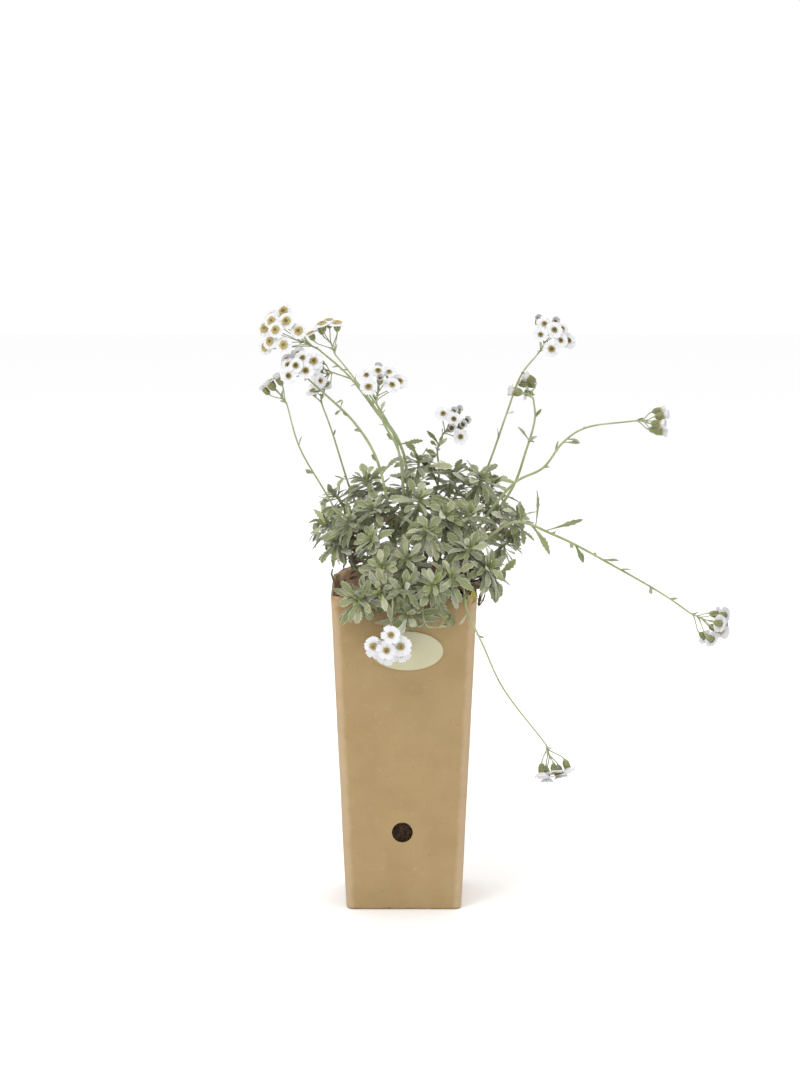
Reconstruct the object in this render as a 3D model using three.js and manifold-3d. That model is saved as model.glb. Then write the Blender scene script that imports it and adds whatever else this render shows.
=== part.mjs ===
// A potted Greek yarrow: a tall square board pot with its oval sticker, potting soil, leafy
// shoots that end in rosettes of toothed grey-green leaves, and slender leafy stems that each
// carry a corymb of white daisy-like heads.
// Millimetres, +Z up. The origin is the centre of the pot's flat underside.
// X runs to the right seen from the front, and Y runs away from the front.
import * as THREE from "three";
import { mergeVertices } from "three/addons/utils/BufferGeometryUtils.js";
import Module from "manifold-3d";

const wasm = await Module();
wasm.setup();

// Pot
const POT_HEIGHT = 200;
const POT_TOP_WIDTH = 90;
const POT_BASE_WIDTH = 72;
const POT_WALL = 1.2;
const POT_TOP_CORNER = 6.5;
const POT_BASE_CORNER = 4;
const CORNER_STEPS = 2;
const BACK_RIM_RISE = 7;
const BACK_RIM_PEAK_X = -14;
const BACK_RIM_SHARE = [-0.72, -0.31, 0.2];
const BACK_RIM_REACH = { left: 30, right: 58 };
const FRONT_HOLE_DIAMETER = 13;
const FRONT_HOLE_SIDES = 16;
const FRONT_HOLE_X = -1;
const FRONT_HOLE_Z = 50;
const DRAIN_HOLE_DIAMETER = 8;
const DRAIN_HOLE_SIDES = 8;
const DRAIN_HOLE_INSET = 13;

// Sticker
const LABEL_WIDTH = 44.5;
const LABEL_HEIGHT = 24.5;
const LABEL_X = 2;
const LABEL_Z = 166;
const LABEL_THICKNESS = 0.4;
const LABEL_SEGMENTS = 10;

// Soil
const CLEARANCE = 0.3;
const SOIL_INSET = POT_WALL + CLEARANCE;
const SOIL_EDGE_Z = 181;
const SOIL_CROWN_RISE = 8;
const SOIL_RING_SHARES = [0.72, 0.4];
const HOLE_DEPTH = 8;
const HOLE_MARGIN = 0.5;
const HOLE_SIDES = 4;

// Stems: half the width of their four-sided section, from root to tip
const FLOWER_STEM_RADII = [1.35, 0.8];
const SHOOT_STEM_RADII = [1.6, 0.9];
const STEM_SIDES = 3;
const FREE_START = 3;
const ROOT_SHARE = 0.3;
const ROOT_JITTER = 5;
const ROOT_STRAY = 0.35;
const STEM_TRIES = 40;
const STEM_GROWTH = 0.35;
const FORK_SHARE = 0.55;
const OVER_RIM = { y: -38, z: 208 };
const KNEE = { y: -50, z: 205 };
const MOUND_CENTRE = [8, 0, 205];
const LIGHT_SIDE = [0, -0.15, 0.35];

// Leaves
const LEAF_THICKNESS = 0.8;
const LEAF_FOLD = 0.3;
const LEAF_WIDEST = 0.68;
const LEAF_NOTCH = { at: 0.76, width: 0.6 };
const ROSETTE_DEPTH = 8;
const WHORLS = [
  { at: 0.3, leaves: 5, opening: 94, length: 20, width: 5.8 },
  { at: 0.95, leaves: 4, opening: 50, length: 14.5, width: 5 },
];
const WHORL_VARIETY = {
  tries: 6, mostStray: 2, turn: 0.4, opening: 16, length: 0.25, shorter: 1 / 60, width: 0.2,
  curl: [0.16, 0.24],
};
const MOST_LEAVES = 5;
const WHORL_COLLAR = 1;
const WHORL_HEART = 0.5;
const WHORL_NOTCH = 1.6;
const LEAF_GROWTH = { width: 0.45, length: 0.5, thickness: 0.7 };
const LEAF_TRIES = 24;
const LEAF_FREE_FROM = 0.3;
const STEM_LEAF_OPENING = 52;
const STEM_LEAF_WIDTH = 0.27;
const STEM_LEAF_VARIETY = {
  tries: 3, mostStray: Infinity, turn: 0.8, opening: 20, length: 0.15, shorter: 1 / 40, width: 0,
  curl: [0.1, 0.3],
};

// Flower heads
const RAYS = 5;
const PEDICEL_SIDES = 3;
const HEAD_RADIUS = 5;
const DISC_RADIUS = 1.9;
const DISC_DOME = 1;
const RAY_NOTCH_SHARE = 0.6;
const RAY_CORNERS = [0.27, 0.73];
const RAY_THICKNESS = 0.9;
const RAY_DROOP = 0.5;
const CUP_DEPTH = 3.4;
const CUP_RADII = [1.75, 0.8];
const PEDICEL_RADIUS = 0.45;
const HUB_RADII = [1, 0.6];
const HUB_SHARE = 0.42;
const HUB_FEET = [0.92, 0.12];
const FIRST_HEAD_SHARE = 0.4;
const HEAD_GROWTH = 0.1;
const HEAD_VARIETY = {
  spread: 1 / 200, turn: 0.04, lift: 0.12, facing: 0.03, radius: 0.16, smaller: 1 / 300,
};
const HEAD_TRIES = 90;
const DOME_RADIUS = 13;
const LOOK_SHARE = 1.5;
const BUD = { radius: 1.9, above: 1.68, below: 2.52 };

// What a random draw is used for
const USE = { turn: 0, opening: 1, length: 2, width: 3, curl: 4, rootX: 7, rootY: 8 };
const HEAD_USE = { turn: 0, lift: 1, facing: 2, radius: 5 };

const GOLDEN_ANGLE = Math.PI * (3 - Math.sqrt(5));
const SAME_POINT = 1e-4;
const SAME_ANGLE = 1e-9;

// Flowering stems, each by the points that it passes after its root, the middle of its heads,
// the way the heads look, half the width of the cluster, and its leaves by place and length.
const FLOWER_STEMS = [
  {
    route: [[-46, -6, 254], [-65, -2, 287], [-73, 2, 314]],
    middle: [-83, 4, 328], look: [-0.5, -0.1, 0.6], spread: 7, heads: 5,
    leaves: [[0.5, 13], [0.62, 12], [0.76, 10]],
  },
  {
    route: [[-33, 20, 255], [-46, 28, 295], [-52, 30, 311]],
    middle: [-53, 30, 323], look: [0.1, -0.5, 0.8], spread: 6, heads: 4,
    leaves: [[0.55, 12], [0.72, 10]],
  },
  {
    route: [[-16, -24, 280], [-30, -30, 305], [-48, -32, 323], [-59, -33, 333]],
    middle: [-65, -45, 344], look: [-0.3, -1, 0.2], spread: 11, heads: 8,
    leaves: [[0.55, 12], [0.7, 11], [0.84, 9]],
  },
  {
    route: [[0, -7, 283], [-18, -7, 311], [-35, -8, 333], [-53, -10, 349]],
    middle: [-80, -39, 364], look: [-0.3, -1, 0.3], spread: 16, heads: 10,
    leaves: [[0.62, 12], [0.74, 11], [0.86, 9]],
  },
  {
    route: [[-1, 6, 285], [-18, 7, 311], [-34, 8, 333], [-43, 9, 344]],
    middle: [-50, 14, 364], look: [-0.1, -0.3, 0.9], spread: 12, heads: 6,
    leaves: [[0.66, 11], [0.82, 9]],
  },
  {
    route: [[-3, 18, 281], [-14, 17, 307], [-30, 16, 326], [-44, 15, 332]],
    middle: [-55, 13, 331], look: [-0.5, -0.8, 0.2], spread: 9, heads: 7,
    leaves: [[0.6, 11], [0.78, 10]],
  },
  {
    route: [[-3, -16, 285], [-12, -19, 303], [-17, -20, 317]],
    middle: [-14, -30, 336], look: [0, -0.8, 0.5], spread: 13, heads: 8,
    leaves: [[0.6, 13], [0.74, 11], [0.86, 9]],
  },
  {
    route: [[22, 9, 268], [21, 7, 284], [24, 5, 294]],
    middle: [33, -8, 305], look: [0.1, -0.9, 0.3], spread: 11, heads: 8,
    leaves: [[0.68, 14], [0.74, 14], [0.8, 12], [0.86, 10]],
  },
  {
    route: [[53, 26, 271], [65, 28, 305], [74, 30, 329], [85, 31, 343]],
    middle: [95, 19, 360], look: [0.1, -1, 0.3], spread: 14, heads: 9,
    leaves: [[0.5, 14], [0.6, 12], [0.7, 11], [0.8, 9]],
  },
  {
    route: [[68, 8, 260], [76, 9, 282], [82, 10, 304], [81, 11, 316]],
    middle: [73, 17, 325], look: [-0.9, -0.1, 0.1], spread: 11, heads: 6,
    leaves: [[0.66, 16], [0.8, 11]],
  },
  {
    route: [[67, -14, 265], [86, -17, 276], [98, -19, 292], [111, -21, 301], [142, -24, 306]],
    middle: [160, -25, 306], look: [1, -0.2, 0.1], spread: 11, heads: 6,
    leaves: [[0.5, 14], [0.6, 13], [0.7, 12], [0.82, 10]],
  },
  {
    route: [[66, -27, 243], [93, -32, 236], [130, -36, 217], [160, -40, 200], [176, -42, 189]],
    middle: [196, -41, 180], look: [0.6, -0.6, -0.2], spread: 13, heads: 8,
    leaves: [[0.48, 14], [0.54, 13], [0.6, 14], [0.68, 11], [0.78, 11], [0.86, 9]],
  },
  {
    route: [[35, -44, 208], [38, -57, 195], [48, -62, 173], [60, -62, 147], [87, -62, 111]],
    middle: [92, -68, 93], look: [0.1, -0.3, -1], spread: 10, heads: 7,
    leaves: [[0.42, 12], [0.52, 12], [0.62, 11]],
  },
  {
    route: [[-6, -40, 215], [-7, -55, 208], [-7, -62, 195], [-8, -60, 184]],
    middle: [-9, -72, 170], look: [-0.1, -1, 0.1], spread: 14, heads: 7,
    leaves: [[0.5, 11]],
  },
  {
    route: [[12, -44, 206], [11, -58, 194], [14, -63, 185], [21, -63, 184]],
    middle: [29, -62, 190], look: [0.6, -0.5, 0.6], spread: 3.5, heads: 6, buds: true,
    leaves: [[0.74, 11], [0.84, 10]],
  },
];

// Leafy shoots, each by the middles of its two rosettes, from the front to the back
const SHOOTS = [
  [[40, -44, 230], [52, -38, 217]],
  [[2, -48, 225], [-13, -50, 219]],
  [[-20, -38, 235], [-34, -26, 245]],
  [[29, -53, 214], [17, -57, 209]],
  [[-14, -58, 205], [-28, -57, 200]],
  [[2, -61, 191], [0, -58, 207]],
  [[25, -34, 249], [14, -44, 241]],
  [[41, -28, 249], [71, -12, 245]],
  [[9, -24, 258], [-19, -24, 252]],
  [[9, -3, 280], [-24, -4, 267]],
  [[31, 10, 268], [48, 0, 268]],
  [[57, 20, 262], [62, 30, 240]],
  [[-43, 14, 255], [-50, 22, 238]],
  [[66, -9, 229], [57, -20, 208]],
  [[-22, 34, 250], [-36, 40, 226]],
  [[4, 36, 260], [0, 52, 232]],
  [[34, 40, 254], [36, 52, 228]],
  [[-48, -2, 238], [-43, -15, 230]],
];

const material = (colour, roughness) =>
  new THREE.MeshStandardMaterial({ color: colour, roughness, metalness: 0 });
const FINISHES = {
  pot: material(0xb29769, 0.9),
  label: material(0xd0cda5, 0.7),
  soil: material(0x33271d, 1),
  shoot: material(0x8f9c83, 0.85),
  flower_stem: material(0xa3b07d, 0.8),
  corymb: material(0xe9e7e6, 0.75),
};

// Vectors
const vec = (p) => new THREE.Vector3(...p);
const add = (a, b, k = 1) => a.clone().addScaledVector(b, k);
const unit = (v) => v.clone().normalize();
const cross = (a, b) => new THREE.Vector3().crossVectors(a, b);
const mix = (a, b, t) => a + (b - a) * t;
const radians = (degrees) => (degrees * Math.PI) / 180;

// A number from 0 to 1 that depends only on its four whole keys.
function draw(plant, leaf, attempt, use) {
  let h = Math.imul(plant + 1, 374761393) ^ Math.imul(leaf + 1, 668265263);
  h ^= Math.imul(attempt + 1, 1274126177) ^ Math.imul(use + 1, 1103515245);
  h = Math.imul(h ^ (h >>> 15), 739982445);
  h = Math.imul(h ^ (h >>> 12), 695872825);
  return ((h ^ (h >>> 15)) >>> 0) / 4294967296;
}

// Two directions square to an axis and to each other. No stem runs along LEAN.
const LEAN = vec([0.58, 0.5, 0.64]);
function square(axis) {
  const side = unit(cross(axis, LEAN));
  return [side, cross(axis, side)];
}

// Solids
function closed(points, faces) {
  const geometry = new THREE.BufferGeometry().setFromPoints(points);
  return geometry.setIndex(faces.flat());
}

function solid(geometry) {
  const bare = geometry.clone();
  bare.deleteAttribute("normal");
  bare.deleteAttribute("uv");
  const merged = mergeVertices(bare, SAME_POINT);
  return new wasm.Manifold(
    new wasm.Mesh({
      numProp: 3,
      vertProperties: merged.attributes.position.array,
      triVerts: new Uint32Array(merged.index.array),
    }),
  );
}

function geometryOf(made) {
  const mesh = made.getMesh();
  return new THREE.BufferGeometry()
    .setAttribute("position", new THREE.BufferAttribute(mesh.vertProperties, 3))
    .setIndex(new THREE.BufferAttribute(mesh.triVerts, 1));
}

// The closed skin through rings that have the same number of points, anticlockwise seen
// against the way the rings follow each other.
function loft(rings) {
  const n = rings[0].length;
  const faces = [];
  for (let r = 0; r + 1 < rings.length; r++)
    for (let i = 0; i < n; i++) {
      const [a, b] = [r * n + i, r * n + ((i + 1) % n)];
      faces.push([a, b, b + n], [a, b + n, a + n]);
    }
  const last = (rings.length - 1) * n;
  for (let i = 1; i + 1 < n; i++) {
    faces.push([0, i + 1, i]);
    faces.push([last, last + i, last + i + 1]);
  }
  return closed(rings.flat(), faces);
}

// Pot
const lean = (POT_TOP_WIDTH - POT_BASE_WIDTH) / 2 / POT_HEIGHT;
const halfWidth = (z) => POT_BASE_WIDTH / 2 + lean * z;
const cornerRadius = (z) => mix(POT_BASE_CORNER, POT_TOP_CORNER, z / POT_HEIGHT);

// The points of a round-cornered square at a height, with three more along the back edge.
function squareRing(z, inset, lift = () => 0) {
  const half = halfWidth(z) - inset;
  const radius = cornerRadius(z) - inset;
  const points = [];
  for (let corner = 0; corner < 4; corner++) {
    const start = (corner * Math.PI) / 2;
    const turn = start + Math.PI / 4;
    const cx = Math.sign(Math.cos(turn)) * (half - radius);
    const cy = Math.sign(Math.sin(turn)) * (half - radius);
    for (let k = 0; k <= CORNER_STEPS; k++) {
      const angle = start + (k / CORNER_STEPS) * (Math.PI / 2);
      points.push(vec([cx + radius * Math.cos(angle), cy + radius * Math.sin(angle), z]));
    }
    if (corner === 0)
      for (const share of [...BACK_RIM_SHARE].reverse()) points.push(vec([share * half, half, z]));
  }
  for (const p of points) p.z += lift(p);
  return points;
}

// The board of the back wall stands a little above the other three, most left of its middle.
function rimLift(p) {
  if (p.y < halfWidth(POT_HEIGHT) - POT_TOP_CORNER) return 0;
  const { left, right } = BACK_RIM_REACH;
  const away = (p.x - BACK_RIM_PEAK_X) / (p.x < BACK_RIM_PEAK_X ? left : right);
  return BACK_RIM_RISE * Math.max(0, 1 - away * away);
}

function standingCylinder(radius, height, sides) {
  return new THREE.CylinderGeometry(radius, radius, height, sides).rotateX(Math.PI / 2);
}

function potSolid() {
  const outside = solid(loft([squareRing(0, 0), squareRing(POT_HEIGHT, 0, rimLift)]));
  const over = (z) => squareRing(z, POT_WALL);
  const tall = over(POT_HEIGHT + 2 * BACK_RIM_RISE);
  const inside = solid(loft([over(POT_WALL), tall]));
  const front = new THREE.CylinderGeometry(
    FRONT_HOLE_DIAMETER / 2, FRONT_HOLE_DIAMETER / 2, 10 * POT_WALL, FRONT_HOLE_SIDES,
  ).translate(FRONT_HOLE_X, -halfWidth(FRONT_HOLE_Z), FRONT_HOLE_Z);
  const at = POT_BASE_WIDTH / 2 - DRAIN_HOLE_INSET;
  const drains = [-at, at].flatMap((x) =>
    [-at, at].map((y) => {
      const drain = standingCylinder(DRAIN_HOLE_DIAMETER / 2, 4 * POT_WALL, DRAIN_HOLE_SIDES);
      return solid(drain.translate(x, y, 0));
    }),
  );
  return [inside, solid(front), ...drains].reduce((s, cut) => s.subtract(cut), outside);
}

// Sticker: an oval laid on the front wall, which leans outwards.
function labelSolid() {
  const outline = new THREE.Shape();
  outline.absellipse(0, 0, LABEL_WIDTH / 2, LABEL_HEIGHT / 2, 0, 2 * Math.PI);
  const plate = new THREE.ExtrudeGeometry(outline, {
    depth: LABEL_THICKNESS, bevelEnabled: false, curveSegments: LABEL_SEGMENTS,
  });
  plate.rotateX(Math.PI / 2 + Math.atan(lean));
  plate.translate(LABEL_X, -halfWidth(LABEL_Z) - CLEARANCE, LABEL_Z);
  return solid(plate);
}

// Soil: it fills the pot and rises in the middle.
function soilTop(x, y) {
  const away = Math.max(Math.abs(x), Math.abs(y)) / (halfWidth(SOIL_EDGE_Z) - SOIL_INSET);
  return SOIL_EDGE_Z + SOIL_CROWN_RISE * Math.max(0, 1 - away * away);
}

function soilSolid(roots) {
  const rings = [SOIL_INSET, SOIL_EDGE_Z].map((z) => squareRing(z, SOIL_INSET));
  for (const share of SOIL_RING_SHARES) {
    const height = SOIL_EDGE_Z + SOIL_CROWN_RISE * (1 - share * share);
    rings.push(rings[1].map((p) => vec([p.x * share, p.y * share, height])));
  }
  const holes = roots.map(({ foot, radius }) => {
    const width = (radius + HOLE_MARGIN) / Math.cos(Math.PI / HOLE_SIDES);
    const hole = standingCylinder(width, 4 * HOLE_DEPTH, HOLE_SIDES);
    return solid(hole.translate(foot.x, foot.y, foot.z - CLEARANCE + 2 * HOLE_DEPTH));
  });
  return holes.reduce((s, hole) => s.subtract(hole), solid(loft(rings)));
}

// Stems
// Points round an axis. The first one lies towards `hint`.
function round(centre, axis, hint, radius, count, turn = 0) {
  const side = unit(add(hint, axis, -hint.dot(axis)));
  const other = cross(axis, side);
  return Array.from({ length: count }, (_, i) => {
    const angle = (2 * Math.PI * (i + turn)) / count;
    return add(add(centre, side, radius * Math.cos(angle)), other, radius * Math.sin(angle));
  });
}

function tube(curve, radii, stations) {
  let hint = LEAN;
  const rings = stations.map((t) => {
    const axis = curve.getTangent(t);
    hint = unit(add(hint, axis, -hint.dot(axis)));
    return round(curve.getPoint(t), axis, hint, mix(...radii, t), STEM_SIDES);
  });
  return solid(loft(rings));
}

// A flowering stem is straight in the soil and bends twice in each later stretch of its route.
function flowerStemTube(curve, more = 0) {
  const bends = 2 * (curve.points.length - 1);
  const stations = Array.from({ length: bends + 1 }, (_, i) => i / bends);
  stations.splice(1, 1);
  return tube(curve, FLOWER_STEM_RADII.map((r) => r + more), stations);
}

// The point of a flowering stem's straight-sided tube at a share of its route.
function onAxis(curve, share) {
  const bends = 2 * (curve.points.length - 1);
  const before = Math.floor(share * bends);
  const [a, b] = [before, before + 1].map((i) => curve.getPoint(i / bends));
  return a.lerp(b, share * bends - before);
}

// The foot of a stem stands straight in the soil, under ROOT_SHARE of the way to its tip.
function footOf(tip, plant, attempt) {
  const stray = (1 + attempt * ROOT_STRAY) * ROOT_JITTER;
  const x = ROOT_SHARE * tip.x + (draw(plant, 0, attempt, USE.rootX) - 0.5) * stray;
  const y = ROOT_SHARE * tip.y + (draw(plant, 0, attempt, USE.rootY) - 0.5) * stray;
  const top = soilTop(x, y);
  return [vec([x, y, top - HOLE_DEPTH]), vec([x, y, top + FREE_START])];
}

// Leaves
// A blade from its root along a direction, with its upper side to `up`: a stalk that widens
// to the blade, two blunt teeth on each side and the tip. It curls down along its length.
function leafPoints(leaf) {
  const side = cross(leaf.up, leaf.along);
  const place = (t, across, lift) => {
    const down = leaf.curl * leaf.length * t * t;
    const onRib = add(add(leaf.root, leaf.along, leaf.length * t), leaf.up, lift - down);
    return add(onRib, side, across);
  };
  const half = leaf.width / 2;
  const thick = leaf.thickness / 2;
  const pair = (t, share) => {
    const across = half * share;
    const lift = LEAF_FOLD * across;
    return [place(t, across, lift), place(t, -across, lift)];
  };
  return [
    place(0, 0, thick), place(0, 0, -thick),
    ...pair(LEAF_WIDEST, 1),
    place(LEAF_WIDEST, 0, thick), place(LEAF_WIDEST, 0, -thick),
    ...pair(LEAF_NOTCH.at, LEAF_NOTCH.width),
    place(1, 0, 0),
  ];
}
const LEAF_ROOT_POINTS = 2;
const LEAF_FACES = [
  [0, 4, 2], [0, 2, 1], [1, 2, 5], [1, 5, 3], [1, 3, 0], [0, 3, 4],
  [4, 6, 2], [4, 8, 6], [4, 7, 8], [4, 3, 7],
  [5, 2, 6], [5, 6, 8], [5, 8, 7], [5, 7, 3],
];
const leafSolid = (leaf) => solid(closed(leafPoints(leaf), LEAF_FACES));

// A leaf that leaves its stem at an angle round the axis, opened from the axis by `opening`.
// Both are in radians.
function leafAt(root, axis, angle, opening, sizes) {
  const [side, other] = square(axis);
  const out = add(side.multiplyScalar(Math.cos(angle)), other, Math.sin(angle));
  const along = unit(add(out.multiplyScalar(Math.sin(opening)), axis, Math.cos(opening)));
  const up = unit(add(axis, along, -axis.dot(along)));
  return { root, along, up, angle, opening, thickness: LEAF_THICKNESS, ...sizes };
}

// The same leaf as it grew: each differs by its own draws, and more with each new attempt.
function variedLeaf({ root, axis, angle, opening, length, width }, variety, chance, attempt) {
  const stray = 1 + attempt / variety.tries;
  const turn = Math.min(stray, variety.mostStray) * variety.turn;
  return leafAt(
    root, axis,
    angle + chance(USE.turn) * turn,
    radians(opening + chance(USE.opening) * stray * variety.opening),
    {
      length: length * (1 + variety.length * chance(USE.length) - attempt * variety.shorter),
      width: width * (1 + variety.width * chance(USE.width)),
      curl: variety.curl[0] + variety.curl[1] * chance(USE.curl),
    },
  );
}

// A rosette is a wide whorl of long leaves under a steeper whorl of short ones.
const whorlRoot = (branch, whorl) => branch.shoulder.clone().lerp(branch.tip, whorl.at);
function whorlLeaf(plant, rosette, branch, level, j, attempt) {
  const whorl = WHORLS[level];
  const key = (rosette * WHORLS.length + level) * MOST_LEAVES + j;
  const chance = (use) => draw(plant, key, attempt, use) - 0.5;
  const share = (j + 0.5 * level) / whorl.leaves;
  const angle = 2 * Math.PI * share + plant + rosette;
  const mean = { ...whorl, root: whorlRoot(branch, whorl), axis: branch.axis, angle };
  return variedLeaf(mean, WHORL_VARIETY, chance, attempt);
}

// The faces between two loops round one axis. A loop is a list of [index, angle].
function stitch(lower, upper) {
  const turn = 2 * Math.PI;
  const start = lower[0][1] - SAME_ANGLE;
  const rising = (loop) => {
    const sorted = loop.map(([index, angle]) => [index, (((angle - start) % turn) + turn) % turn]);
    sorted.sort((a, b) => a[1] - b[1]);
    return [...sorted, [sorted[0][0], sorted[0][1] + turn]];
  };
  const [low, high] = [rising(lower), rising(upper)];
  const faces = [];
  let [i, k] = [0, 0];
  while (i < lower.length || k < upper.length) {
    const lowerNext = k === upper.length || (i < lower.length && low[i + 1][1] <= high[k + 1][1]);
    const third = lowerNext ? low[i + 1] : high[k + 1];
    faces.push([low[i][0], third[0], high[k][0]]);
    if (lowerNext) i++;
    else k++;
  }
  return faces;
}

// A ring with its points numbered in place of their angles, to join two rings point by point
const inStep = (ring) => ring.map(([index], k) => [index, k]);

// A leafy branch as one body: its stem's rings, and the whorls joined between them.
function branchSolid({ points: route, axis, radii }, whorls) {
  const points = [];
  const faces = [];
  const [side, other] = square(axis);
  const angleOf = (v) => Math.atan2(v.dot(other), v.dot(side));
  const addRing = (centre, direction, hint, radius) => {
    const first = points.push(...round(centre, direction, hint, radius, STEM_SIDES)) - STEM_SIDES;
    return Array.from({ length: STEM_SIDES }, (_, k) => [
      first + k, angleOf(hint) + (2 * Math.PI * k) / STEM_SIDES,
    ]);
  };

  const curve = new THREE.CatmullRomCurve3(route);
  const last = route.length - 1;
  let hint = LEAN;
  let ring = null;
  for (let i = 0; i + 1 < last; i++) {
    const direction = curve.getTangent(i / last);
    hint = unit(add(hint, direction, -hint.dot(direction)));
    const next = addRing(route[i], direction, hint, mix(...radii, i / last));
    if (ring) faces.push(...stitch(inStep(ring), inStep(next)));
    else faces.push([next[0][0], next[2][0], next[1][0]]);
    ring = next;
  }
  hint = unit(add(hint, axis, -hint.dot(axis)));

  let tops = [];
  for (const { root, leaves } of whorls) {
    const below = addRing(add(root, axis, -WHORL_COLLAR), axis, hint, radii[1]);
    if (!tops.length) faces.push(...stitch(inStep(ring), inStep(below)));
    else {
      const above = addRing(add(whorls[0].root, axis, WHORL_COLLAR), axis, hint, radii[1]);
      faces.push(...stitch(tops, above), ...stitch(inStep(above), inStep(below)));
    }
    const notches = leaves.map((leaf, j) => {
      const next = leaves[(j + 1) % leaves.length];
      const turn = j + 1 < leaves.length ? 0 : 2 * Math.PI;
      const angle = (leaf.angle + next.angle + turn) / 2;
      const opening = (leaf.opening + next.opening) / 2;
      const notch = leafAt(root, axis, angle, opening, {});
      return [points.push(add(root, notch.along, WHORL_NOTCH)) - 1, angle];
    });
    const bottoms = [];
    tops = [];
    leaves.forEach((leaf, j) => {
      const blade = leafPoints(leaf).slice(LEAF_ROOT_POINTS);
      const first = points.push(...blade) - blade.length;
      const [left, right, top, bottom, leftNotch, rightNotch, tip] = blade.map(
        (_, k) => first + k,
      );
      const [before] = notches[(j + leaves.length - 1) % leaves.length];
      const edge = [before, right, rightNotch, tip, leftNotch, left, notches[j][0]];
      for (let k = 0; k + 1 < edge.length; k++) {
        faces.push([top, edge[k], edge[k + 1]]);
        faces.push([bottom, edge[k + 1], edge[k]]);
      }
      tops.push([top, leaf.angle], notches[j]);
      bottoms.push([bottom, leaf.angle], notches[j]);
    });
    faces.push(...stitch(below, bottoms));
  }
  const heart = points.push(add(whorls.at(-1).root, axis, WHORL_HEART)) - 1;
  tops.forEach(([index], k) => faces.push([heart, index, tops[(k + 1) % tops.length][0]]));
  return solid(closed(points, faces));
}

// A flowering stem's leaves climb it one by one, a golden turn apart.
function stemLeaf(plant, stem, curve, j, attempt) {
  const [place, length] = stem.leaves[j];
  const chance = (use) => draw(plant, j, attempt, use) - 0.5;
  const mean = {
    root: onAxis(curve, place), axis: curve.getTangent(place),
    angle: j * GOLDEN_ANGLE + plant, opening: STEM_LEAF_OPENING,
    length, width: length * STEM_LEAF_WIDTH,
  };
  return variedLeaf(mean, STEM_LEAF_VARIETY, chance, attempt);
}

// Flower heads
// One head on its pedicel: a domed disc, flat white rays with blunt corners, a green cup under
// them and the pedicel down to the branching point. A bud has no rays.
function headSolid(head, branch) {
  const { centre, facing, radius, open } = head;
  const hint = square(facing)[0];
  const at = (lift) => add(centre, facing, lift);
  const ring = (lift, r, turn) => round(at(lift), facing, hint, r, RAYS, turn);
  const half = RAY_THICKNESS / 2;
  const cupRadius = open ? CUP_RADII[0] : BUD.radius;
  const cupDepth = open ? CUP_DEPTH : BUD.below;
  const down = unit(add(branch, at(-cupDepth), -1));
  const points = [at(open ? DISC_DOME : BUD.above)];
  const faces = [];
  const start = (list) => points.push(...list) - list.length;
  const cup = start(ring(-half, cupRadius, 0));
  if (open) {
    const disc = start(ring(half, DISC_RADIUS, 0));
    const notch = start(ring(-RAY_DROOP / 2, radius * RAY_NOTCH_SHARE, 0));
    const [left, right] = RAY_CORNERS.map((share) => start(ring(-RAY_DROOP, radius, share)));
    for (let i = 0; i < RAYS; i++) {
      const next = (i + 1) % RAYS;
      faces.push([0, disc + i, disc + next]);
      const outline = [notch + i, left + i, right + i, notch + next];
      for (const [root, flip] of [[disc, false], [cup, true]]) {
        const [a, b] = [root + i, root + next];
        const [n, l, r, m] = outline;
        for (const face of [[a, n, l], [a, l, b], [l, r, b], [b, r, m]])
          faces.push(flip ? face.reverse() : face);
      }
    }
  } else
    for (let i = 0; i < RAYS; i++) faces.push([0, cup + i, cup + ((i + 1) % RAYS)]);
  const low = start(round(at(-cupDepth), facing, hint, CUP_RADII[1], PEDICEL_SIDES));
  const foot = start(round(branch, down.clone().negate(), hint, PEDICEL_RADIUS, PEDICEL_SIDES));
  // Each side of the pedicel's top reaches up to one or two of the points of the cup's edge.
  const over = (k) => Math.round((k * RAYS) / PEDICEL_SIDES);
  for (let k = 0; k < PEDICEL_SIDES; k++) {
    const next = (k + 1) % PEDICEL_SIDES;
    for (let c = over(k); c < over(k + 1); c++)
      faces.push([cup + c, low + k, cup + ((c + 1) % RAYS)]);
    faces.push([cup + (over(k + 1) % RAYS), low + k, low + next]);
    faces.push([low + k, foot + k, low + next], [low + next, foot + k, foot + next]);
  }
  faces.push([foot, foot + 2, foot + 1]);
  return solid(closed(points, faces));
}

// The heads of a corymb stand on a shallow dome, each turned in part to the way they all look.
function headOf(plant, stem, i, attempt) {
  const branch = vec(stem.route.at(-1));
  const middle = vec(stem.middle);
  const axis = unit(add(middle, branch, -1));
  const [side, other] = square(axis);
  const chance = (use) => draw(plant, i, attempt, use) - 0.5;
  const { spread, turn, lift: climb, facing: nod, radius: size, smaller } = HEAD_VARIETY;
  const share = Math.sqrt((i + FIRST_HEAD_SHARE) / stem.heads);
  const away = stem.spread * share * (1 + attempt * spread);
  const angle = i * GOLDEN_ANGLE + plant + chance(HEAD_USE.turn) * attempt * turn;
  const lift = chance(HEAD_USE.lift) * attempt * climb - (away * away) / (2 * DOME_RADIUS);
  const across = add(side.multiplyScalar(away * Math.cos(angle)), other, away * Math.sin(angle));
  const centre = add(add(middle, across), axis, lift);
  const look = unit(vec(stem.look)).multiplyScalar(LOOK_SHARE);
  const facing = unit(add(unit(add(centre, branch, -1)), look));
  const nodding = vec([0, 1, 2].map((k) => chance(HEAD_USE.facing + k) * attempt * nod));
  const radius = HEAD_RADIUS * (1 + size * chance(HEAD_USE.radius) - attempt * smaller);
  return { centre, facing: unit(facing.add(nodding)), radius, open: !stem.buds };
}

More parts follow.
